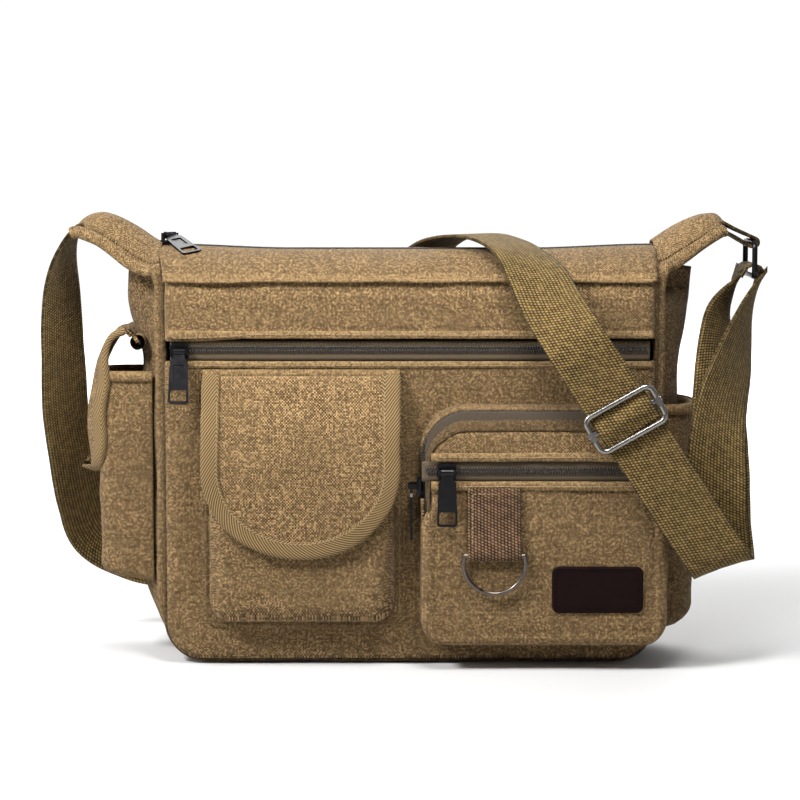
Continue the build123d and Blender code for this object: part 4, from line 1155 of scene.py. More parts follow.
binding = sweep(
    "flap_binding_tape", flap_border, lambda p, k: flap_normal(p), BINDING_SECTION, "binding",
    wobble=binding_wobble, wear=0.3,
)
attach(binding, "pocket_flap", "binding", "flap_binding")

flap_seam = [
    p for p in inset_line(flap_border, flap_normal, 9.6 * MM, 1.25 * MM) if p.z < flap_high.z - 9 * MM
]
stitches(
    "flap_binding_stitches", flap_seam, flap_normal, "pocket_flap", "thread", 3.0 * MM, 2.2 * MM, 0.28 * MM
)
flap_top_line = [flap_surface(FLAP_MID + FLAP_HALF * s / 20, flap_high.z - 5 * MM) for s in range(-17, 18)]
stitches(
    "flap_top_stitches", flap_top_line, flap_normal, "pocket_flap", "thread_dark", 3.0 * MM, 2.2 * MM,
    0.25 * MM,
)

# A narrow folded welt joins the flap to the panel above its sewn edge.
welt_path = [
    Vector((FLAP_MID + FLAP_HALF * s / 24, FACE_Y - 0.8 * MM, flap_high.z + 0.5 * MM))
    for s in range(-24, 25)
]
welt = sweep(
    "flap_welt", welt_path, FRONTWARD, section_mm((5, 0.4), (3, 1.2), (0, 1.6), (-2.5, 1.5), (-3.5, 0.2)),
    "canvas", wobble=lambda p, s, u, k, j: u * ripple(p, 70, 12) * 0.4 * MM, wear=0.4,
)
attach(welt, BAG, "canvas")


# ---- cargo pocket -----------------------------------------------------------
cargo_low, cargo_high = low("cargo_gusset"), high("cargo_gusset")
CARGO_FACE = low("cargo_front_lower").y
CARGO = (cargo_low.x, cargo_high.x, cargo_low.z, cargo_high.z)
CARGO_TOP_R = 28 * MM
CARGO_LOW_R = 16 * MM
cargo_border = rounded_outline(*CARGO, CARGO_TOP_R, CARGO_LOW_R, 0, 2.5 * MM)
ARCH_START = low("arch_zip_chain").z
SIDE_SLOPE = 0.40


def slope(point):
    """How far the wall leans in, as a share: fully on top, less down the sides."""
    return SIDE_SLOPE + (1 - SIDE_SLOPE) * smoothstep(cargo_high.z - 34 * MM, cargo_high.z - 4 * MM, point.z)


# The border is split where the arched zip starts on each side.
first_low = next(k for k, p in enumerate(cargo_border) if p.z < ARCH_START)
last_low = max(k for k, p in enumerate(cargo_border) if p.z < ARCH_START)
low_path = cargo_border[first_low - 2 : last_low + 3]
arch_path = cargo_border[last_low - 1 :] + cargo_border[: first_low + 2]


def outward(path, k):
    """Sideways direction out of the pocket at one point of its border."""
    along = (path[min(k + 1, len(path) - 1)] - path[max(k - 1, 0)]).normalized()
    return along.cross(FRONTWARD).normalized()


def wall_strip(name, path, section, material, slot_name, nodes=(), wobble=None, wear=None):
    """A strip of the pocket's wall. Section: (outwards, towards the front), in millimetres.
    Wobble: (size in millimetres, scale, seed)."""
    rows = []
    for k, p in enumerate(path):
        out = outward(path, k)
        lean = slope(p)
        row = []
        for j, (a, b) in enumerate(section):
            outwards = a * lean if a < 0 else a
            point = Vector((p.x, FACE_Y - b * MM, p.z)) + out * (outwards * MM)
            if wobble is not None:
                reach, scale, seed = wobble
                sideways = ripple(point, scale, seed) * reach * MM
                forwards = ripple(point, scale, seed + 3) * reach * 0.6 * MM
                point += out * sideways + FRONTWARD * forwards
            row.append(point)
        rows.append(list(reversed(row)))
    piece = grid_piece(name, rows, material, wear=wear)
    return attach(piece, BAG, slot_name, *nodes)


# The lower wall takes the darker canvas copy as painted shade.
wall_strip(
    "cargo_lower_wall_cloth", low_path, [(0.9, -0.6), (0.6, 3), (0.3, 9), (0.4, 14), (0.2, 18.5), (-1.2, 20)],
    "canvas_painted_shade", "canvas", ("cargo_gusset",), (0.7, 60, 101), 0.1,
)
wall_strip(
    "cargo_rear_wall_cloth", arch_path,
    [(1.2, -0.6), (1.0, 2), (0.8, 5), (0.6, 7.6), (-0.2, 9.2), (-2.2, 9.8), (-3.0, 9.0)], "canvas",
    "canvas", (), (0.6, 70, 105), lambda i, j: 0.55 * smoothstep(0.55, 0.1, j),
)
wall_strip(
    "arch_zip_tape", arch_path, [(-1.4, 8.6), (-3.5, 10.4), (-6.0, 12.8), (-8.2, 14.6)], "zip_tape",
    "zip_coil",
)
arch_line = []
for k, p in enumerate(arch_path):
    inwards = 4.2 * MM * slope(p) - 0.5 * MM
    arch_line.append(Vector((p.x, FACE_Y - 12.2 * MM, p.z)) - outward(arch_path, k) * inwards)


def arch_face(point):
    """The chain faces outwards and forwards on the pocket's leaning wall."""
    middle_x = (CARGO[0] + CARGO[1]) / 2
    reach = smoothstep(cargo_high.z - 40 * MM, cargo_high.z - 8 * MM, point.z)
    out = Vector((math.copysign(1.0 - reach * 0.9, point.x - middle_x), 0, reach * 1.1))
    return (out.normalized() + FRONTWARD * (0.5 + 0.7 * reach)).normalized()


coil_chain("arch_zip_coil", arch_line, arch_face, "arch_zip_chain", width=4.4 * MM, pitch=1.7 * MM)
wall_strip(
    "arch_binding_tape", arch_path,
    [(-6.6, 13.0), (-6.2, 14.6), (-6.8, 16.6), (-8.4, 19.2), (-10.6, 21.6), (-12.8, 23.2), (-14.0, 22.6)],
    "piping", "canvas", (), (0.45, 90, 111), 0.12,
)


def cargo_face(name, z_from, z_to, rows_count, seed, crease, node):
    """Front cloth between two heights; narrower where the arched zip runs beside it."""
    middle = (CARGO[0] + CARGO[1]) / 2
    top = CARGO[3] - 12.8 * MM
    rows = []
    for i in range(rows_count + 1):
        z = z_from + (z_to - z_from) * i / rows_count
        inset = 13.2 * MM * SIDE_SLOPE * smoothstep(ARCH_START - 12 * MM, ARCH_START + 2 * MM, z)
        half = (CARGO[1] - CARGO[0]) / 2 - inset
        width = half_width(z, half, CARGO[2], top, 19 * MM, CARGO_LOW_R)
        row = []
        for j in range(97):
            x = middle + width * spread(j, 96)
            distance = inside_rounded(x, z, middle - half, middle + half, CARGO[2], top, 19 * MM, CARGO_LOW_R)
            lift = pillow(distance, 5.5 * MM)
            groove = crease * math.exp(-(((distance - 8.5 * MM) / (1.3 * MM)) ** 2)) * 1.1 * MM
            swell = ripple((x, 0, z), 20, seed) * 1.6 * MM + ripple((x, 0, z), 52, seed + 3) * 0.7 * MM
            short = ripple((x, 0, z), 100, seed + 9) * math.exp(-max(0.0, distance) / (7 * MM)) * 0.9 * MM
            y = CARGO_FACE + 5.0 * MM * (1 - lift) + (swell + short) * min(1.0, lift) + groove
            row.append(Vector((x, y, z)))
        rows.append(row)
    piece = grid_piece(name, rows, "canvas", uv=lambda p, i, j: (p.x, p.z), wear=edge_wear(0.03, 0.03, 0.3))
    return attach(piece, BAG, "canvas", node)


zip_gap_low = high("cargo_front_lower").z
zip_gap_high = low("cargo_front_upper").z
cargo_face("cargo_lower_cloth", CARGO[2], zip_gap_low - 0.5 * MM, 60, 121, 1.0, "cargo_front_lower")
cargo_face(
    "cargo_upper_cloth", zip_gap_high + 0.5 * MM, CARGO[3] - 12.8 * MM, 30, 131, 0.0, "cargo_front_upper"
)
FACE_BOUNDS = (CARGO[0] + 5.0 * MM, CARGO[1] - 5.0 * MM)


def folded_lip(name, x_range, z, y, tall, seed, bulge=1.7 * MM):
    """A turned-in cloth edge that stands a little proud beside a zip."""
    path = [Vector((x_range[0] + (x_range[1] - x_range[0]) * k / 70, y, z)) for k in range(71)]
    half = tall / 2
    section = [
        (half, -0.3 * MM), (half * 0.95, bulge * 0.55), (half * 0.5, bulge * 0.95), (-half * 0.3, bulge),
        (-half * 0.85, bulge * 0.75), (-half, 0.2 * MM), (-half * 0.8, -0.8 * MM),
    ]
    piece = sweep(
        name, path, FRONTWARD, section, "canvas",
        wobble=lambda p, s, u, k, j: u * ripple(p, 85, seed) * 0.5 * MM + s * ripple(
            p, 45, seed + 4
        ) * 0.5 * MM,
        wear=0.55,
    )
    return attach(piece, BAG, "canvas")


CARGO_LIP = (FACE_BOUNDS[0] + 1 * MM, FACE_BOUNDS[1] - 1 * MM)
FRONT_LIP = (-SEAM_X + 3 * MM, SEAM_X - 3 * MM)
folded_lip("cargo_upper_lip", CARGO_LIP, zip_gap_high + 2.4 * MM, CARGO_FACE - 0.2 * MM, 5.5 * MM, 5)
folded_lip("cargo_lower_lip", CARGO_LIP, zip_gap_low - 2.6 * MM, CARGO_FACE - 0.2 * MM, 6.0 * MM, 9)
folded_lip("front_band_lip", FRONT_LIP, BAND_LOW_Z + 2.2 * MM, FACE_Y - 0.6 * MM, 5.0 * MM, 13, 1.2 * MM)
folded_lip("front_panel_lip", FRONT_LIP, PANEL_HIGH.z - 2.2 * MM, FACE_Y - 0.2 * MM, 4.6 * MM, 17, 1.2 * MM)


# ---- label, tab ---------------------------------------------------------------
label_low, label_high = low("leather_label"), high("leather_label")


def label_rows():
    rows = []
    middle = (label_low + label_high) / 2
    half_x = (label_high.x - label_low.x) / 2
    half_z = (label_high.z - label_low.z) / 2
    radius = 4.5 * MM
    for i in range(31):
        z = middle.z + half_z * -math.cos(math.pi * i / 30)
        rise = abs(z - middle.z) - (half_z - radius)
        width = half_x if rise <= 0 else half_x - radius + math.sqrt(max(0.0, radius**2 - rise**2))
        row = []
        for j in range(41):
            x = middle.x + width * -math.cos(math.pi * j / 40)
            distance = inside_rounded(
                x, z, label_low.x, label_high.x, label_low.z, label_high.z, radius, radius
            )
            lift = pillow(distance, 1.2 * MM)
            groove = math.exp(-(((distance - 2.6 * MM) / (0.8 * MM)) ** 2)) * 0.35 * MM
            warp = ripple((x, 0, z), 45, 141) * 0.5 * MM
            row.append(Vector((x, label_high.y + 0.2 * MM - (1.7 * MM) * lift + groove - abs(warp), z)))
        rows.append(row)
    return rows


label = grid_piece(
    "label_leather", label_rows(), "leather", uv=lambda p, i, j: (p.x, p.z),
    wear=edge_wear(0.04, 0.06, 0.5), thickness=0,
)
attach(label, BAG, "leather", "leather_label")
label_path = rounded_outline(
    label_low.x + 2.6 * MM, label_high.x - 2.6 * MM, label_low.z + 2.6 * MM, label_high.z - 2.6 * MM,
    3 * MM, 3 * MM, label_low.y - 0.25 * MM, 1 * MM,
)
stitches(
    "label_stitches", label_path + label_path[:1], FRONTWARD, BAG, "leather", 2.4 * MM, 1.7 * MM, 0.25 * MM
)

tab_low, tab_high = low("dring_tab"), high("dring_tab")
ring_low, ring_high = low("dring"), high("dring")
RING_Z = ring_high.z - 1.5 * MM
RING_Y = (ring_low.y + ring_high.y) / 2


def tab_rows():
    """Webbing folded round the ring: front layer, bend, and the layer behind it."""
    front_y = CARGO_FACE - 3.2 * MM
    side_view = smooth_line(
        [
            (0, CARGO_FACE + 0.6 * MM, tab_high.z), (0, front_y, tab_high.z - 0.6 * MM),
            (0, front_y - 0.3 * MM, tab_high.z - 12 * MM), (0, front_y - 0.8 * MM, RING_Z + 16 * MM),
            (0, RING_Y - 3.0 * MM, RING_Z + 4 * MM), (0, RING_Y - 3.1 * MM, RING_Z - 0.5 * MM),
            (0, RING_Y - 0.6 * MM, RING_Z - 3.4 * MM), (0, RING_Y + 2.4 * MM, RING_Z - 1.5 * MM),
            (0, RING_Y + 3.0 * MM, RING_Z + 3 * MM),
        ],
        6,
    )
    rows = []
    for k in range(61):
        point = line_at(side_view, k / 60)
        row = []
        for j in range(27):
            x = tab_low.x + (tab_high.x - tab_low.x) * j / 26
            wave = ripple((x, point.y, point.z), 50, 151) * 0.6 * MM
            edge = (abs(2 * j / 26 - 1)) ** 8 * 0.5 * MM
            row.append(
                Vector((x + ripple((0, 0, point.z), 50, 153) * 0.5 * MM, point.y + wave + edge, point.z))
            )
        rows.append(row)
    return [list(reversed(row)) for row in rows]


tab = grid_piece("dring_tab_webbing", tab_rows(), "tab_webbing", thickness=1.9 * MM, offset=-1)
attach(tab, BAG, "tab_webbing", "dring_tab")
tab_front_y = CARGO_FACE - 3.5 * MM


def tab_stitches(name, points):
    return stitches(name, points, FRONTWARD, BAG, "thread", 2.8 * MM, 2.1 * MM, 0.32 * MM)


tab_top = tab_high.z - 3.2 * MM
tab_stitches(
    "tab_stitches_left",
    [Vector((tab_low.x + 3 * MM, tab_front_y - k * 0.25 * MM, tab_top - k * 4 * MM)) for k in range(10)],
)
tab_stitches(
    "tab_stitches_top", [Vector((tab_low.x + 3 * MM + k * 3 * MM, tab_front_y, tab_top)) for k in range(10)]
)


# ---- side pockets and the side flap ---------------------------------------------
side_low, side_high = low("left_side_pocket"), high("left_side_pocket")


LIP_SECTION = section_mm((3, 0), (3.2, 1.2), (0, 1.6), (-3.2, 1.2), (-3.6, 0))


def pocket_lip(label, mouth, centre):
    """A turned hem round a side pocket's mouth, facing away from a centre in plan."""
    path = [p + Vector((0, 0, -2.5 * MM)) for p in mouth]
    lip = sweep(
        f"{label}_side_pocket_lip", path, lambda p, k: (p - Vector((centre.x, centre.y, p.z))).normalized(),
        LIP_SECTION, "canvas", wear=0.5,
    )
    return attach(lip, BAG, "canvas")


def wrap_pocket(z_low, z_high, outline, bottom_roll, seed, swell):
    """Pocket wrapped round a side wall: plan outline, rising with a rolled bottom."""
    rows = []
    count = 61
    plan = resample(outline, count)
    steps = 56
    for i in range(steps + 1):
        share = i / steps
        z = z_low + (z_high - z_low) * share
        lift = pillow(z - z_low, bottom_roll)
        row = []
        for j, p in enumerate(plan):
            anchor = plan[0].lerp(plan[-1], j / (count - 1))
            point = anchor.lerp(p, 0.25 + 0.75 * lift)
            edge = min(j, count - 1 - j) / (count / 2)
            normal = (p - anchor).normalized() if (p - anchor).length > 1e-4 else Vector()
            fold = ripple((p.x, p.y, z), 32, seed) * swell + ripple((p.x, p.y, z), 75, seed + 3) * swell * 0.4
            sag = math.sin(share * math.pi * 0.9) * 1.5 * MM
            row.append(Vector((0, 0, z)) + point + normal * (fold + sag) * min(1, edge * 4))
        rows.append(row)
    return rows


left_outline = [
    Vector((x * MM, y * MM, 0))
    for x, y in (
        (-166, 15), (-176, 14.5), (-186, 14), (-193, 12), (-197.5, 6), (-198, -2), (-198, -20), (-197, -27),
        (-192, -32.5), (-184, -34), (-174, -34.5), (-164, -35),
    )
]
left_rows = wrap_pocket(side_low.z, side_high.z, smooth_line(left_outline, 6), 9 * MM, 161, 1.5 * MM)
left_pocket = grid_piece("left_side_pocket_cloth", left_rows, "canvas", wear=edge_wear(0.02, 0.03, 0.5))
attach(left_pocket, BAG, "canvas", "left_side_pocket")
pocket_lip("left", left_rows[-1], Vector((-165 * MM, -10 * MM, 0)))

slip_low, slip_high = low("right_side_pocket"), high("right_side_pocket")
slip_outline = [
    Vector((
        SEAM_X + 3 * MM + (slip_high.x - SEAM_X - 3 * MM) * math.sqrt(max(0.0, 1 - abs(t) ** 2.6)),
        t * slip_high.y, 0,
    ))
    for t in [-1 + k / 12 for k in range(25)]
]
right_rows = wrap_pocket(slip_low.z - 8 * MM, slip_high.z, slip_outline, 14 * MM, 171, 1.4 * MM)
# The right side pocket takes the darker canvas copy as painted shade on the side away from the key light.
right_pocket = grid_piece(
    "right_side_pocket_cloth", right_rows, "canvas_painted_shade", wear=edge_wear(0.02, 0.03, 0.5)
)
attach(right_pocket, BAG, "canvas", "right_side_pocket")
pocket_lip("right", right_rows[-1], Vector((SEAM_X, 0, 0)))

flap_side_low, flap_side_high = low("left_side_flap"), high("left_side_flap")
side_route = smooth_line(
    [
        (x * MM, 0, z * MM)
        for x, z in (
            (-173.5, 203), (-177, 208), (-183, 210.8), (-191, 206.5), (-199.5, 190), (-205.3, 166),
            (-206, 142), (-203.5, 121),
        )
    ],
    8,
)
side_rows = []
for k in range(61):
    point = line_at(side_route, k / 60)
    share = k / 60
    round_end = math.sqrt(max(0.0, 1 - max(0.0, (share - 0.84) / 0.16) ** 2.2)) * 0.5 + 0.5
    middle_y = (flap_side_low.y + flap_side_high.y) / 2
    along = (
        line_at(side_route, min(1, share + 0.02)) - line_at(side_route, max(0, share - 0.02))
    ).normalized()
    inward = Vector((-along.z, 0, along.x))
    if inward.x < 0:
        inward = -inward
    row = []
    for j in range(33):
        t = 2 * j / 32 - 1
        y = middle_y + t * (flap_side_high.y - flap_side_low.y) / 2 * round_end
        turn = max(0.0, -t - 0.35) / 0.65
        cup = turn**1.6 * 10 * MM * smoothstep(0.2, 0.5, share) * (1 - 0.35 * smoothstep(0.8, 1, share))
        y += turn**2 * 3.0 * MM - turn * 2.5 * MM
        wave = ripple((point.x, y, point.z), 40, 181) * 1.1 * MM
        row.append(Vector((point.x, y, point.z)) + inward * (cup + t * t * 1.0 * MM + wave))
    side_rows.append(row)
# The side flap takes the lighter canvas copy as painted light on the side that faces the key light.
side_flap = grid_piece(
    "left_side_flap_cloth", side_rows, "canvas_painted_light", wear=edge_wear(0.08, 0.03, 0.3), thickness=2.4 * MM,
    offset=0.0,
)
attach(side_flap, "side_flap", "canvas", "left_side_flap")
side_border = [row[0] for row in side_rows[3:]] + side_rows[-1][1:] + [
    row[-1] for row in reversed(side_rows[3:-1])
]


def side_normal(point, k):
    """Outwards from the side flap's cloth at one of its border points."""
    count = len(side_rows) - 3
    row = min(len(side_rows) - 2, 3 + (k if k < count else len(side_border) - 1 - k))
    row = max(3, row)
    column = 0 if k < count + 16 else len(side_rows[0]) - 3
    a = side_rows[row][column + 2] - side_rows[row][column]
    b = side_rows[row + 1][column] - side_rows[row - 1][column]
    normal = a.cross(b).normalized()
    return normal if normal.dot(Vector((-1, -0.4, 0.2))) > 0 else -normal


side_binding = sweep(
    "left_side_flap_binding", side_border, side_normal,
    section_mm(
        (8.2, 1.0), (8.0, 2.0), (4, 2.3), (1.0, 2.3), (-0.8, 1.6), (-1.2, 0), (-0.8, -1.6), (2, -2.2),
        (8, -2.0),
    ),
    "binding", wear=0.2, wobble=lambda p, a, b, k, j: b * ripple(p, 90, 183) * 0.4 * MM,
)
attach(side_binding, "side_flap", "binding")

# A roll of cloth covers the flap's sewn end where it meets the gusset.
roll_y = [flap_side_low.y + (flap_side_high.y - flap_side_low.y) * k / 16 for k in range(17)]
roll_line = [Vector((-173.0 * MM, y, 203.5 * MM)) for y in roll_y]
side_roll = sweep(
    "left_side_flap_roll_cloth", roll_line, Z_AXIS, tube_section(4.9 * MM, 14), "canvas",
    closed_section=True, wobble=lambda p, a, b, k, j: (a + b) * ripple(p, 90, 187) * 0.5 * MM, wear=0.3,
)
attach(side_roll, BAG, "canvas")

# ---- shoulder strap ------------------------------------------------------------
STRAP_DIR = Vector((math.cos(math.radians(-56.6)), 0, math.sin(math.radians(-56.6))))
ADJUSTER = (low("adjuster_frame") + high("adjuster_frame")) / 2
STRAP_Y = -91 * MM
UNDER_Y = -81 * MM
BUCKLE = Vector((ADJUSTER.x, STRAP_Y, ADJUSTER.z))
FOLD_DIR = Vector((0.94, 0, 0.33)).normalized()
FOLD_UP = Vector((-0.33, 0, 0.94)).normalized()
RING_BAR = Vector(((low("strap_ring").x + high("strap_ring").x) / 2, 0, low("strap_ring").z + 1.75 * MM))
LOOP_R = 7.2 * MM


def on_strap(distance, y):
    point = BUCKLE + STRAP_DIR * (distance * MM)
    return Vector((point.x, y, point.z))


def station(x, y, z, width):
    return (Vector((x, y, z)) * MM, Vector(width).normalized())


def turned(x, y, z, turn):
    """Station of a leg whose width is turned by some degrees from facing sideways."""
    return station(x, y, z, (-math.sin(math.radians(turn)), -math.cos(math.radians(turn)), 0))


def fold(radius, start_y):
    rows = []
    for step in range(7):
        turn = math.pi * step / 6
        drift = FOLD_DIR * (0.25 * radius * turn)
        drop = FOLD_UP * (-radius * math.sin(turn))
        rows.append((
            on_strap(101, start_y) + drift + drop + Vector((0, radius * (1 - math.cos(turn)), 0)),
            FOLD_DIR * -1,
        ))
    return rows


def ring_turn():
    rows = []
    for step in range(7):
        turn = math.pi * step / 6
        rows.append((
            RING_BAR + Vector((-LOOP_R * math.cos(turn), 0, LOOP_R * math.sin(turn))), Vector((0, -1, 0))
        ))
    return rows


ACROSS = Vector((0, 1, 0)).cross(STRAP_DIR)
strap_route = [
    station(-209.5, 0, 277.6, (0, 1, 0)), station(-214.0, 0, 275.8, (0, 1, 0)),
    station(-220.5, 1, 266.0, (0.10, 1, 0)), station(-225.0, 3, 250.0, (0.30, 0.95, 0)),
    station(-226.5, 6, 229.0, (0.51, 0.86, 0)), station(-226.5, 11, 192.0, (0.60, 0.80, 0)),
    station(-226.5, 17, 158.0, (0.66, 0.75, 0)), station(-222.0, 25, 122.0, (0.72, 0.69, 0)),
    station(-218.0, 36, 92.0, (0.76, 0.62, 0.20)), station(-211.0, 49, 69.0, (0.78, 0.35, 0.50)),
    station(-194.0, 58, 56.0, (0.48, 0.10, 0.87)), station(-170.0, 60, 49.0, (0.12, 0, 1)),
    station(-138.0, 56, 52.0, (-0.30, 0, 0.94)), station(-110.0, 52.5, 70.0, (-0.70, 0, 0.70)),
    station(-84.0, 51.0, 104.0, (-0.84, 0, 0.54)), station(-46.0, 51.0, 166.0, (-0.85, 0, 0.53)),
    station(-8.0, 51.0, 228.0, (-0.85, 0, 0.52)), station(1.0, 49.8, 243.0, (-0.82, -0.15, 0.52)),
    station(11.0, 40.0, 257.5, (-0.75, -0.62, 0.12)), station(24.0, 22.0, 267.0, (-0.72, -0.68, 0)),
    station(42.0, 0, 270.2, (-0.74, -0.67, 0)), station(58.0, -22.0, 267.0, (-0.74, -0.67, 0)),
    station(70.0, -43.0, 259.5, (-0.80, -0.58, -0.05)), station(80.0, -61.0, 245.5, (-0.85, -0.40, -0.30)),
    station(88.5, -77.0, 228.0, (-0.85, -0.20, -0.48)),
]
strap_route += [(on_strap(d, STRAP_Y), ACROSS) for d in (-56, -30, 0, 30, 60, 84)]
strap_route += fold(11 * MM, STRAP_Y)
strap_route += [
    turned(194.0, -68.5, 98, 90), turned(193.5, -66, 122, 88), turned(193.5, -60, 148, 74),
    turned(195.0, -48.5, 174, 58), turned(197.5, -31, 199, 43), turned(202.0, -13, 220, 27),
    turned(209.0, -3, 235, 12),
]
strap_route += ring_turn()
strap_route += [
    turned(223.0, -5, 233, 10), turned(213.5, -22, 210, 27), turned(204.5, -39, 188, 42),
    turned(195.5, -56, 163, 58), turned(191.5, -68, 138, 75), turned(190.6, -73, 114, 88),
    turned(190.8, -73.5, 94, 90),
]
strap_route += list(reversed(fold(6.5 * MM, -86.5 * MM)))
strap_route += [
    (on_strap(84, -85.2 * MM), ACROSS), (on_strap(62, UNDER_Y), ACROSS), (on_strap(30, UNDER_Y), ACROSS),
    (on_strap(2, UNDER_Y), ACROSS),
]

STRAP_HALF = 19 * MM
STRAP_UV_STEP = 2 * STRAP_HALF / 16


def strap_rows():
    centres = smooth_line([c for c, _ in strap_route], 8)
    widths = [w.normalized() for w in smooth_line([w for _, w in strap_route], 8)]
    spans = [(b - a).length for a, b in zip(centres, centres[1:])]
    total = sum(spans)
    count = int(total / (3.2 * MM))
    rows = []
    travelled, k = 0.0, 0
    for i in range(count + 1):
        target = total * i / count
        while k < len(spans) - 1 and travelled + spans[k] < target:
            travelled += spans[k]
            k += 1
        share = min(1.0, (target - travelled) / max(spans[k], 1e-9))
        centre = centres[k].lerp(centres[k + 1], share)
        width = widths[k].lerp(widths[k + 1], share).normalized()
        along = (centres[k + 1] - centres[k]).normalized()
        width = (width - along * width.dot(along)).normalized()
        normal = along.cross(width)
        calm = smoothstep(16 * MM, 40 * MM, (centre - RING_BAR).length)
        row = []
        for j in range(17):
            t = 2 * j / 16 - 1
            selvedge = ripple((target, t, 0.3), 60, 201) * 0.5 * MM * abs(t) ** 3
            curl = (t * t - 0.3) * ripple((target, 0, 0), 9, 203) * 1.3 * MM * calm
            wave = ripple((target, t * 0.01, 0), 30, 205) * 0.45 * MM * calm
            row.append(centre + width * (t * STRAP_HALF + selvedge) + normal * (curl + wave))
        rows.append(row)
    return rows, total


rows, STRAP_LENGTH = strap_rows()
strap = grid_piece(
    "shoulder_strap_webbing", rows, "webbing", uv=lambda p, i, j: (j * STRAP_UV_STEP, i * 3.2 * MM),
    thickness=1.9 * MM, offset=0.0,
)
attach(strap, BAG, "webbing", "shoulder_strap")

# Where the webbing comes up between the adjuster's bars it bulges over the centre bar.
bulge_rows = []
for i in range(25):
    d = (i / 24 - 0.5) * 20
    swell = 2.7 * MM * math.cos(d / 20 * math.pi) ** 2 + 0.15 * MM
    row = []
    for j in range(17):
        t = 2 * j / 16 - 1
        row.append(
            on_strap(d, STRAP_Y - 1.0 * MM - swell * (1 - 0.35 * t**4)) + ACROSS * (t * STRAP_HALF * 0.985)
        )
    bulge_rows.append(row)
bulge = grid_piece(
    "strap_bulge_webbing", bulge_rows, "webbing", uv=lambda p, i, j: (j * STRAP_UV_STEP, i * 0.85 * MM),
    thickness=1.2 * MM, offset=0.0,
)
attach(bulge, "adjuster", "webbing")

# The strap's sewn end: round the adjuster's bar, with a doubled tail behind.
bar_centre = (low("adjuster_bar") + high("adjuster_bar")) / 2
LONG_DIR = Matrix.Rotation(math.radians(4), 3, "Y") @ ACROSS


def loop_rows():
    tail = 30 * MM
    section = [(tail, 1.0 * MM), (tail * 0.5, 1.1 * MM), (4 * MM, 1.6 * MM)]
    for k in range(9):
        angle = math.radians(60 + 240 * k / 8)
        section.append((2.8 * MM * math.cos(angle), 2.8 * MM * math.sin(angle)))
    section += [(4 * MM, -1.6 * MM), (tail * 0.5, -1.1 * MM), (tail, -1.0 * MM)]
    direction = LONG_DIR.cross(Vector((0, 1, 0))).normalized()
    if direction.dot(STRAP_DIR) < 0:
        direction = -direction
    rows = []
    for a, b in section:
        row = []
        for j in range(13):
            t = 2 * j / 12 - 1
            row.append(bar_centre + direction * a + Vector((0, b, 0)) + LONG_DIR * (t * 17.5 * MM))
        rows.append(row)
    return rows


end_loop = grid_piece("strap_end_webbing", loop_rows(), "webbing", thickness=1.6 * MM, offset=0.0)
attach(end_loop, "adjuster", "webbing", "strap_end_loop")


def ring_tab_rows():
    """Webbing from the right ear round the end ring's upper bar and back."""
    ring = Vector((RING_BAR.x, 0, high("strap_ring").z - 1.75 * MM))
    root = Vector((198 * MM, 0, 277.6 * MM))
    direction = (ring - root).normalized()
    up = Vector((-direction.z, 0, direction.x))
    if up.z < 0:
        up = -up
    section = [
        root + up * 2.4 * MM, root.lerp(ring, 0.4) + up * 2.2 * MM, root.lerp(ring, 0.75) + up * 2.6 * MM
    ]
    for k in range(9):
        angle = math.radians(100 - 200 * k / 8)
        section.append(ring + direction * (3.0 * MM * math.cos(angle)) + up * (3.0 * MM * math.sin(angle)))
    section += [
        root.lerp(ring, 0.75) - up * 2.6 * MM, root.lerp(ring, 0.4) - up * 2.2 * MM, root - up * 2.2 * MM
    ]
    rows = []
    for p in smooth_line(section, 3):
        row = []
        for j in range(15):
            t = 2 * j / 14 - 1
            row.append(
                p + Vector((0, t * 17 * MM, 0)) + up * (ripple((p.x, t * 0.02, p.z), 60, 211) * 0.4 * MM)
            )
        rows.append(row)
    return rows


tab_web = grid_piece("ring_tab_webbing", ring_tab_rows(), "webbing", thickness=1.7 * MM, offset=0.0)
attach(tab_web, BAG, "webbing", "ring_tab")


# ---- stitch rows ----------------------------------------------------------------
def straight(x0, x1, y, z, droop=None):
    """A level line from x0 to x1 in steps of about 4 mm; droop(x) is added to its height."""
    count = max(2, int(abs(x1 - x0) / (4 * MM)))
    xs = [x0 + (x1 - x0) * k / count for k in range(count + 1)]
    return [Vector((x, y, z + (droop(x) if droop else 0))) for x in xs]


def lip_stitches(name, x0, x1, y, z, length, radius, droop=None):
    """Bold stitches along a folded lip beside a zip."""
    stitches(name, straight(x0, x1, y, z, droop=droop), FRONTWARD, BAG, "thread", 3.2 * MM, length, radius)


FRONT_ENDS = (-SEAM_X + 6 * MM, SEAM_X - 6 * MM)
CARGO_ENDS = (CARGO[0] + 10 * MM, CARGO[1] - 10 * MM)
lip_stitches(
    "front_zip_low_stitches", *FRONT_ENDS, FACE_Y - 1.8 * MM, PANEL_HIGH.z - 2.4 * MM, 2.3 * MM, 0.34 * MM
)
lip_stitches(
    "front_band_stitches", *FRONT_ENDS, FACE_Y - 2.15 * MM, BAND_LOW_Z + 2.3 * MM, 2.3 * MM, 0.34 * MM,
    band_drop,
)
tape_row = straight(-SEAM_X + 8 * MM, SEAM_X - 8 * MM, TAPE_Y - 0.1 * MM, FRONT_ZIP_Z + 4.2 * MM)
stitches("front_tape_stitches", tape_row, FRONTWARD, BAG, "thread_dark")
lip_stitches(
    "cargo_upper_stitches", *CARGO_ENDS, CARGO_FACE - 2.2 * MM, zip_gap_high + 2.6 * MM, 2.4 * MM, 0.36 * MM
)
lip_stitches(
    "cargo_lower_stitches", *CARGO_ENDS, CARGO_FACE - 2.2 * MM, zip_gap_low - 2.8 * MM, 2.4 * MM, 0.36 * MM
)


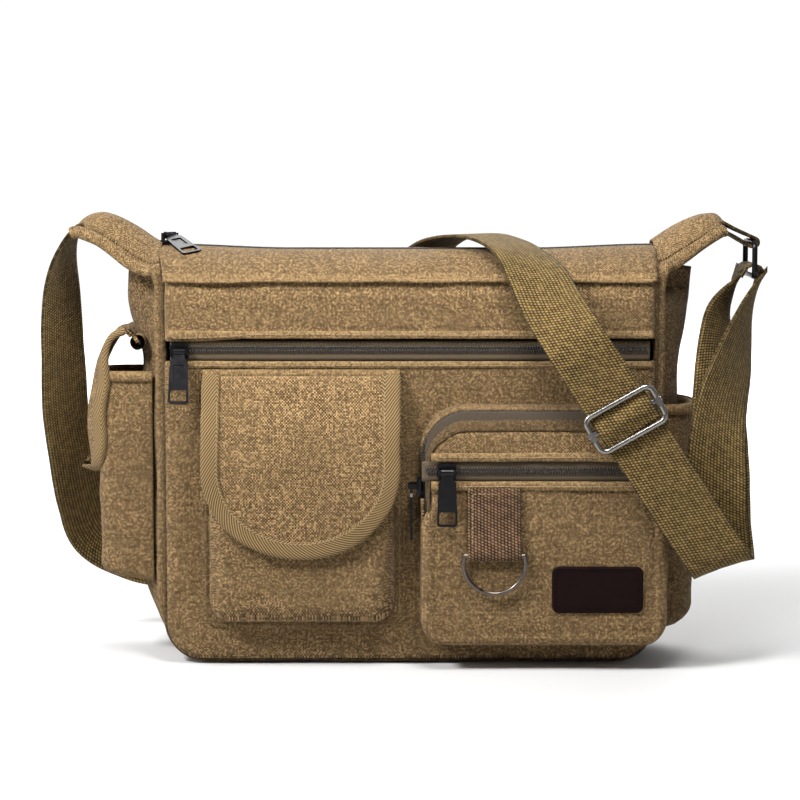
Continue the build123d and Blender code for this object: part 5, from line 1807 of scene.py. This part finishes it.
# ---- hardware and hidden pieces ---------------------------------------------------
FINISHES = {
    "gunmetal": [
        f"{zip_name}_zip_{part}"
        for zip_name in ("front", "cargo", "top", "arch")
        for part in ("slider", "pull")
    ],
    "nickel": ["adjuster_frame", "adjuster_bar"], "black_steel": ["strap_ring"], "bronze": ["dring"],
    "lining_cloth": ["inner_slip_pocket", "cargo_divider"], "board": ["base_board"],
    "hook_loop": ["flap_loop_patch", "flap_hook_patch"],
}
for finish, nodes in FINISHES.items():
    for node in nodes:
        piece = bpy.data.objects[node]
        piece.data.materials.clear()
        piece.data.materials.append(MATERIALS[finish])


# ---- camera, floor and light --------------------------------------------------------
camera = bpy.data.objects.new("camera", bpy.data.cameras.new("camera"))
bpy.context.scene.collection.objects.link(camera)
SENSOR_WIDTH, FOCAL_LENGTH = 36, 110.7
CAMERA_DISTANCE = 1.55
camera.data.sensor_width = SENSOR_WIDTH
camera.data.lens = FOCAL_LENGTH
elevation = math.radians(6)
aim = Vector((-0.0063, -0.050, 0.1683))
camera.location = aim + Vector((0, -math.cos(elevation), math.sin(elevation))) * CAMERA_DISTANCE
camera.rotation_euler = (aim - camera.location).to_track_quat("-Z", "Y").to_euler()
bpy.context.scene.camera = camera

FLOOR_HALF, FLOOR_Z = 3, -0.6 * MM
floor_corners = [(x * FLOOR_HALF, y * FLOOR_HALF, FLOOR_Z) for x, y in ((-1, -1), (1, -1), (1, 1), (-1, 1))]
floor_mesh = bpy.data.meshes.new("floor")
floor_mesh.from_pydata(floor_corners, [], [(0, 1, 2, 3)])
floor = bpy.data.objects.new("floor", floor_mesh)
bpy.context.scene.collection.objects.link(floor)
floor_look = Shader("floor_paper")
paper = floor_look.noise(floor_look.place(), 300, 2)
floor_mesh.materials.append(floor_look.finish((0.6, 0.6, 0.6), 0.9, floor_look.bump(paper, 0.05 * MM, 0.2)))


def soft_light(name, place, power, size, target=(0, 0, 0.13)):
    lamp = bpy.data.objects.new(name, bpy.data.lights.new(name, "AREA"))
    lamp.data.energy = power
    lamp.data.shape = "DISK"
    lamp.data.size = size
    lamp.location = place
    lamp.rotation_euler = (Vector(target) - Vector(place)).to_track_quat("-Z", "Y").to_euler()
    bpy.context.scene.collection.objects.link(lamp)
    return lamp


soft_light("key", (-0.62, -0.52, 0.76), 13.0, 0.24, (-0.03, -0.03, 0.17))
soft_light("fill", (1.5, -1.6, 0.9), 1.2, 1.2)
soft_light("top", (0.06, -0.32, 0.58), 3.2, 0.26, (0.02, -0.06, 0.2))
soft_light("left", (-1.1, -0.2, 0.5), 3, 0.6, (-0.15, 0, 0.22))
soft_light("rim", (0.6, 1.5, 0.9), 8, 1.0)
soft_light("backdrop", (0, 2.0, 1.3), 85, 1.8, (0, 2.2, 0))
# The room is white behind the bag and dimmer on the camera's side.
world = bpy.data.worlds.new("studio")
world.use_nodes = True
tree = world.node_tree
direction = tree.nodes.new("ShaderNodeTexCoord").outputs["Generated"]
axes = tree.nodes.new("ShaderNodeSeparateXYZ")
tree.links.new(direction, axes.inputs[0])
spread = tree.nodes.new("ShaderNodeMapRange")
spread.interpolation_type = "SMOOTHSTEP"
for socket, value in (("From Min", 0.15), ("From Max", 0.85), ("To Min", 0.15), ("To Max", 1.05)):
    spread.inputs[socket].default_value = value
tree.links.new(axes.outputs["Y"], spread.inputs["Value"])
tree.nodes["Background"].inputs["Color"].default_value = (1, 1, 1, 1)
tree.links.new(spread.outputs["Result"], tree.nodes["Background"].inputs["Strength"])
bpy.context.scene.world = world
bpy.context.scene.view_settings.view_transform = "Standard"
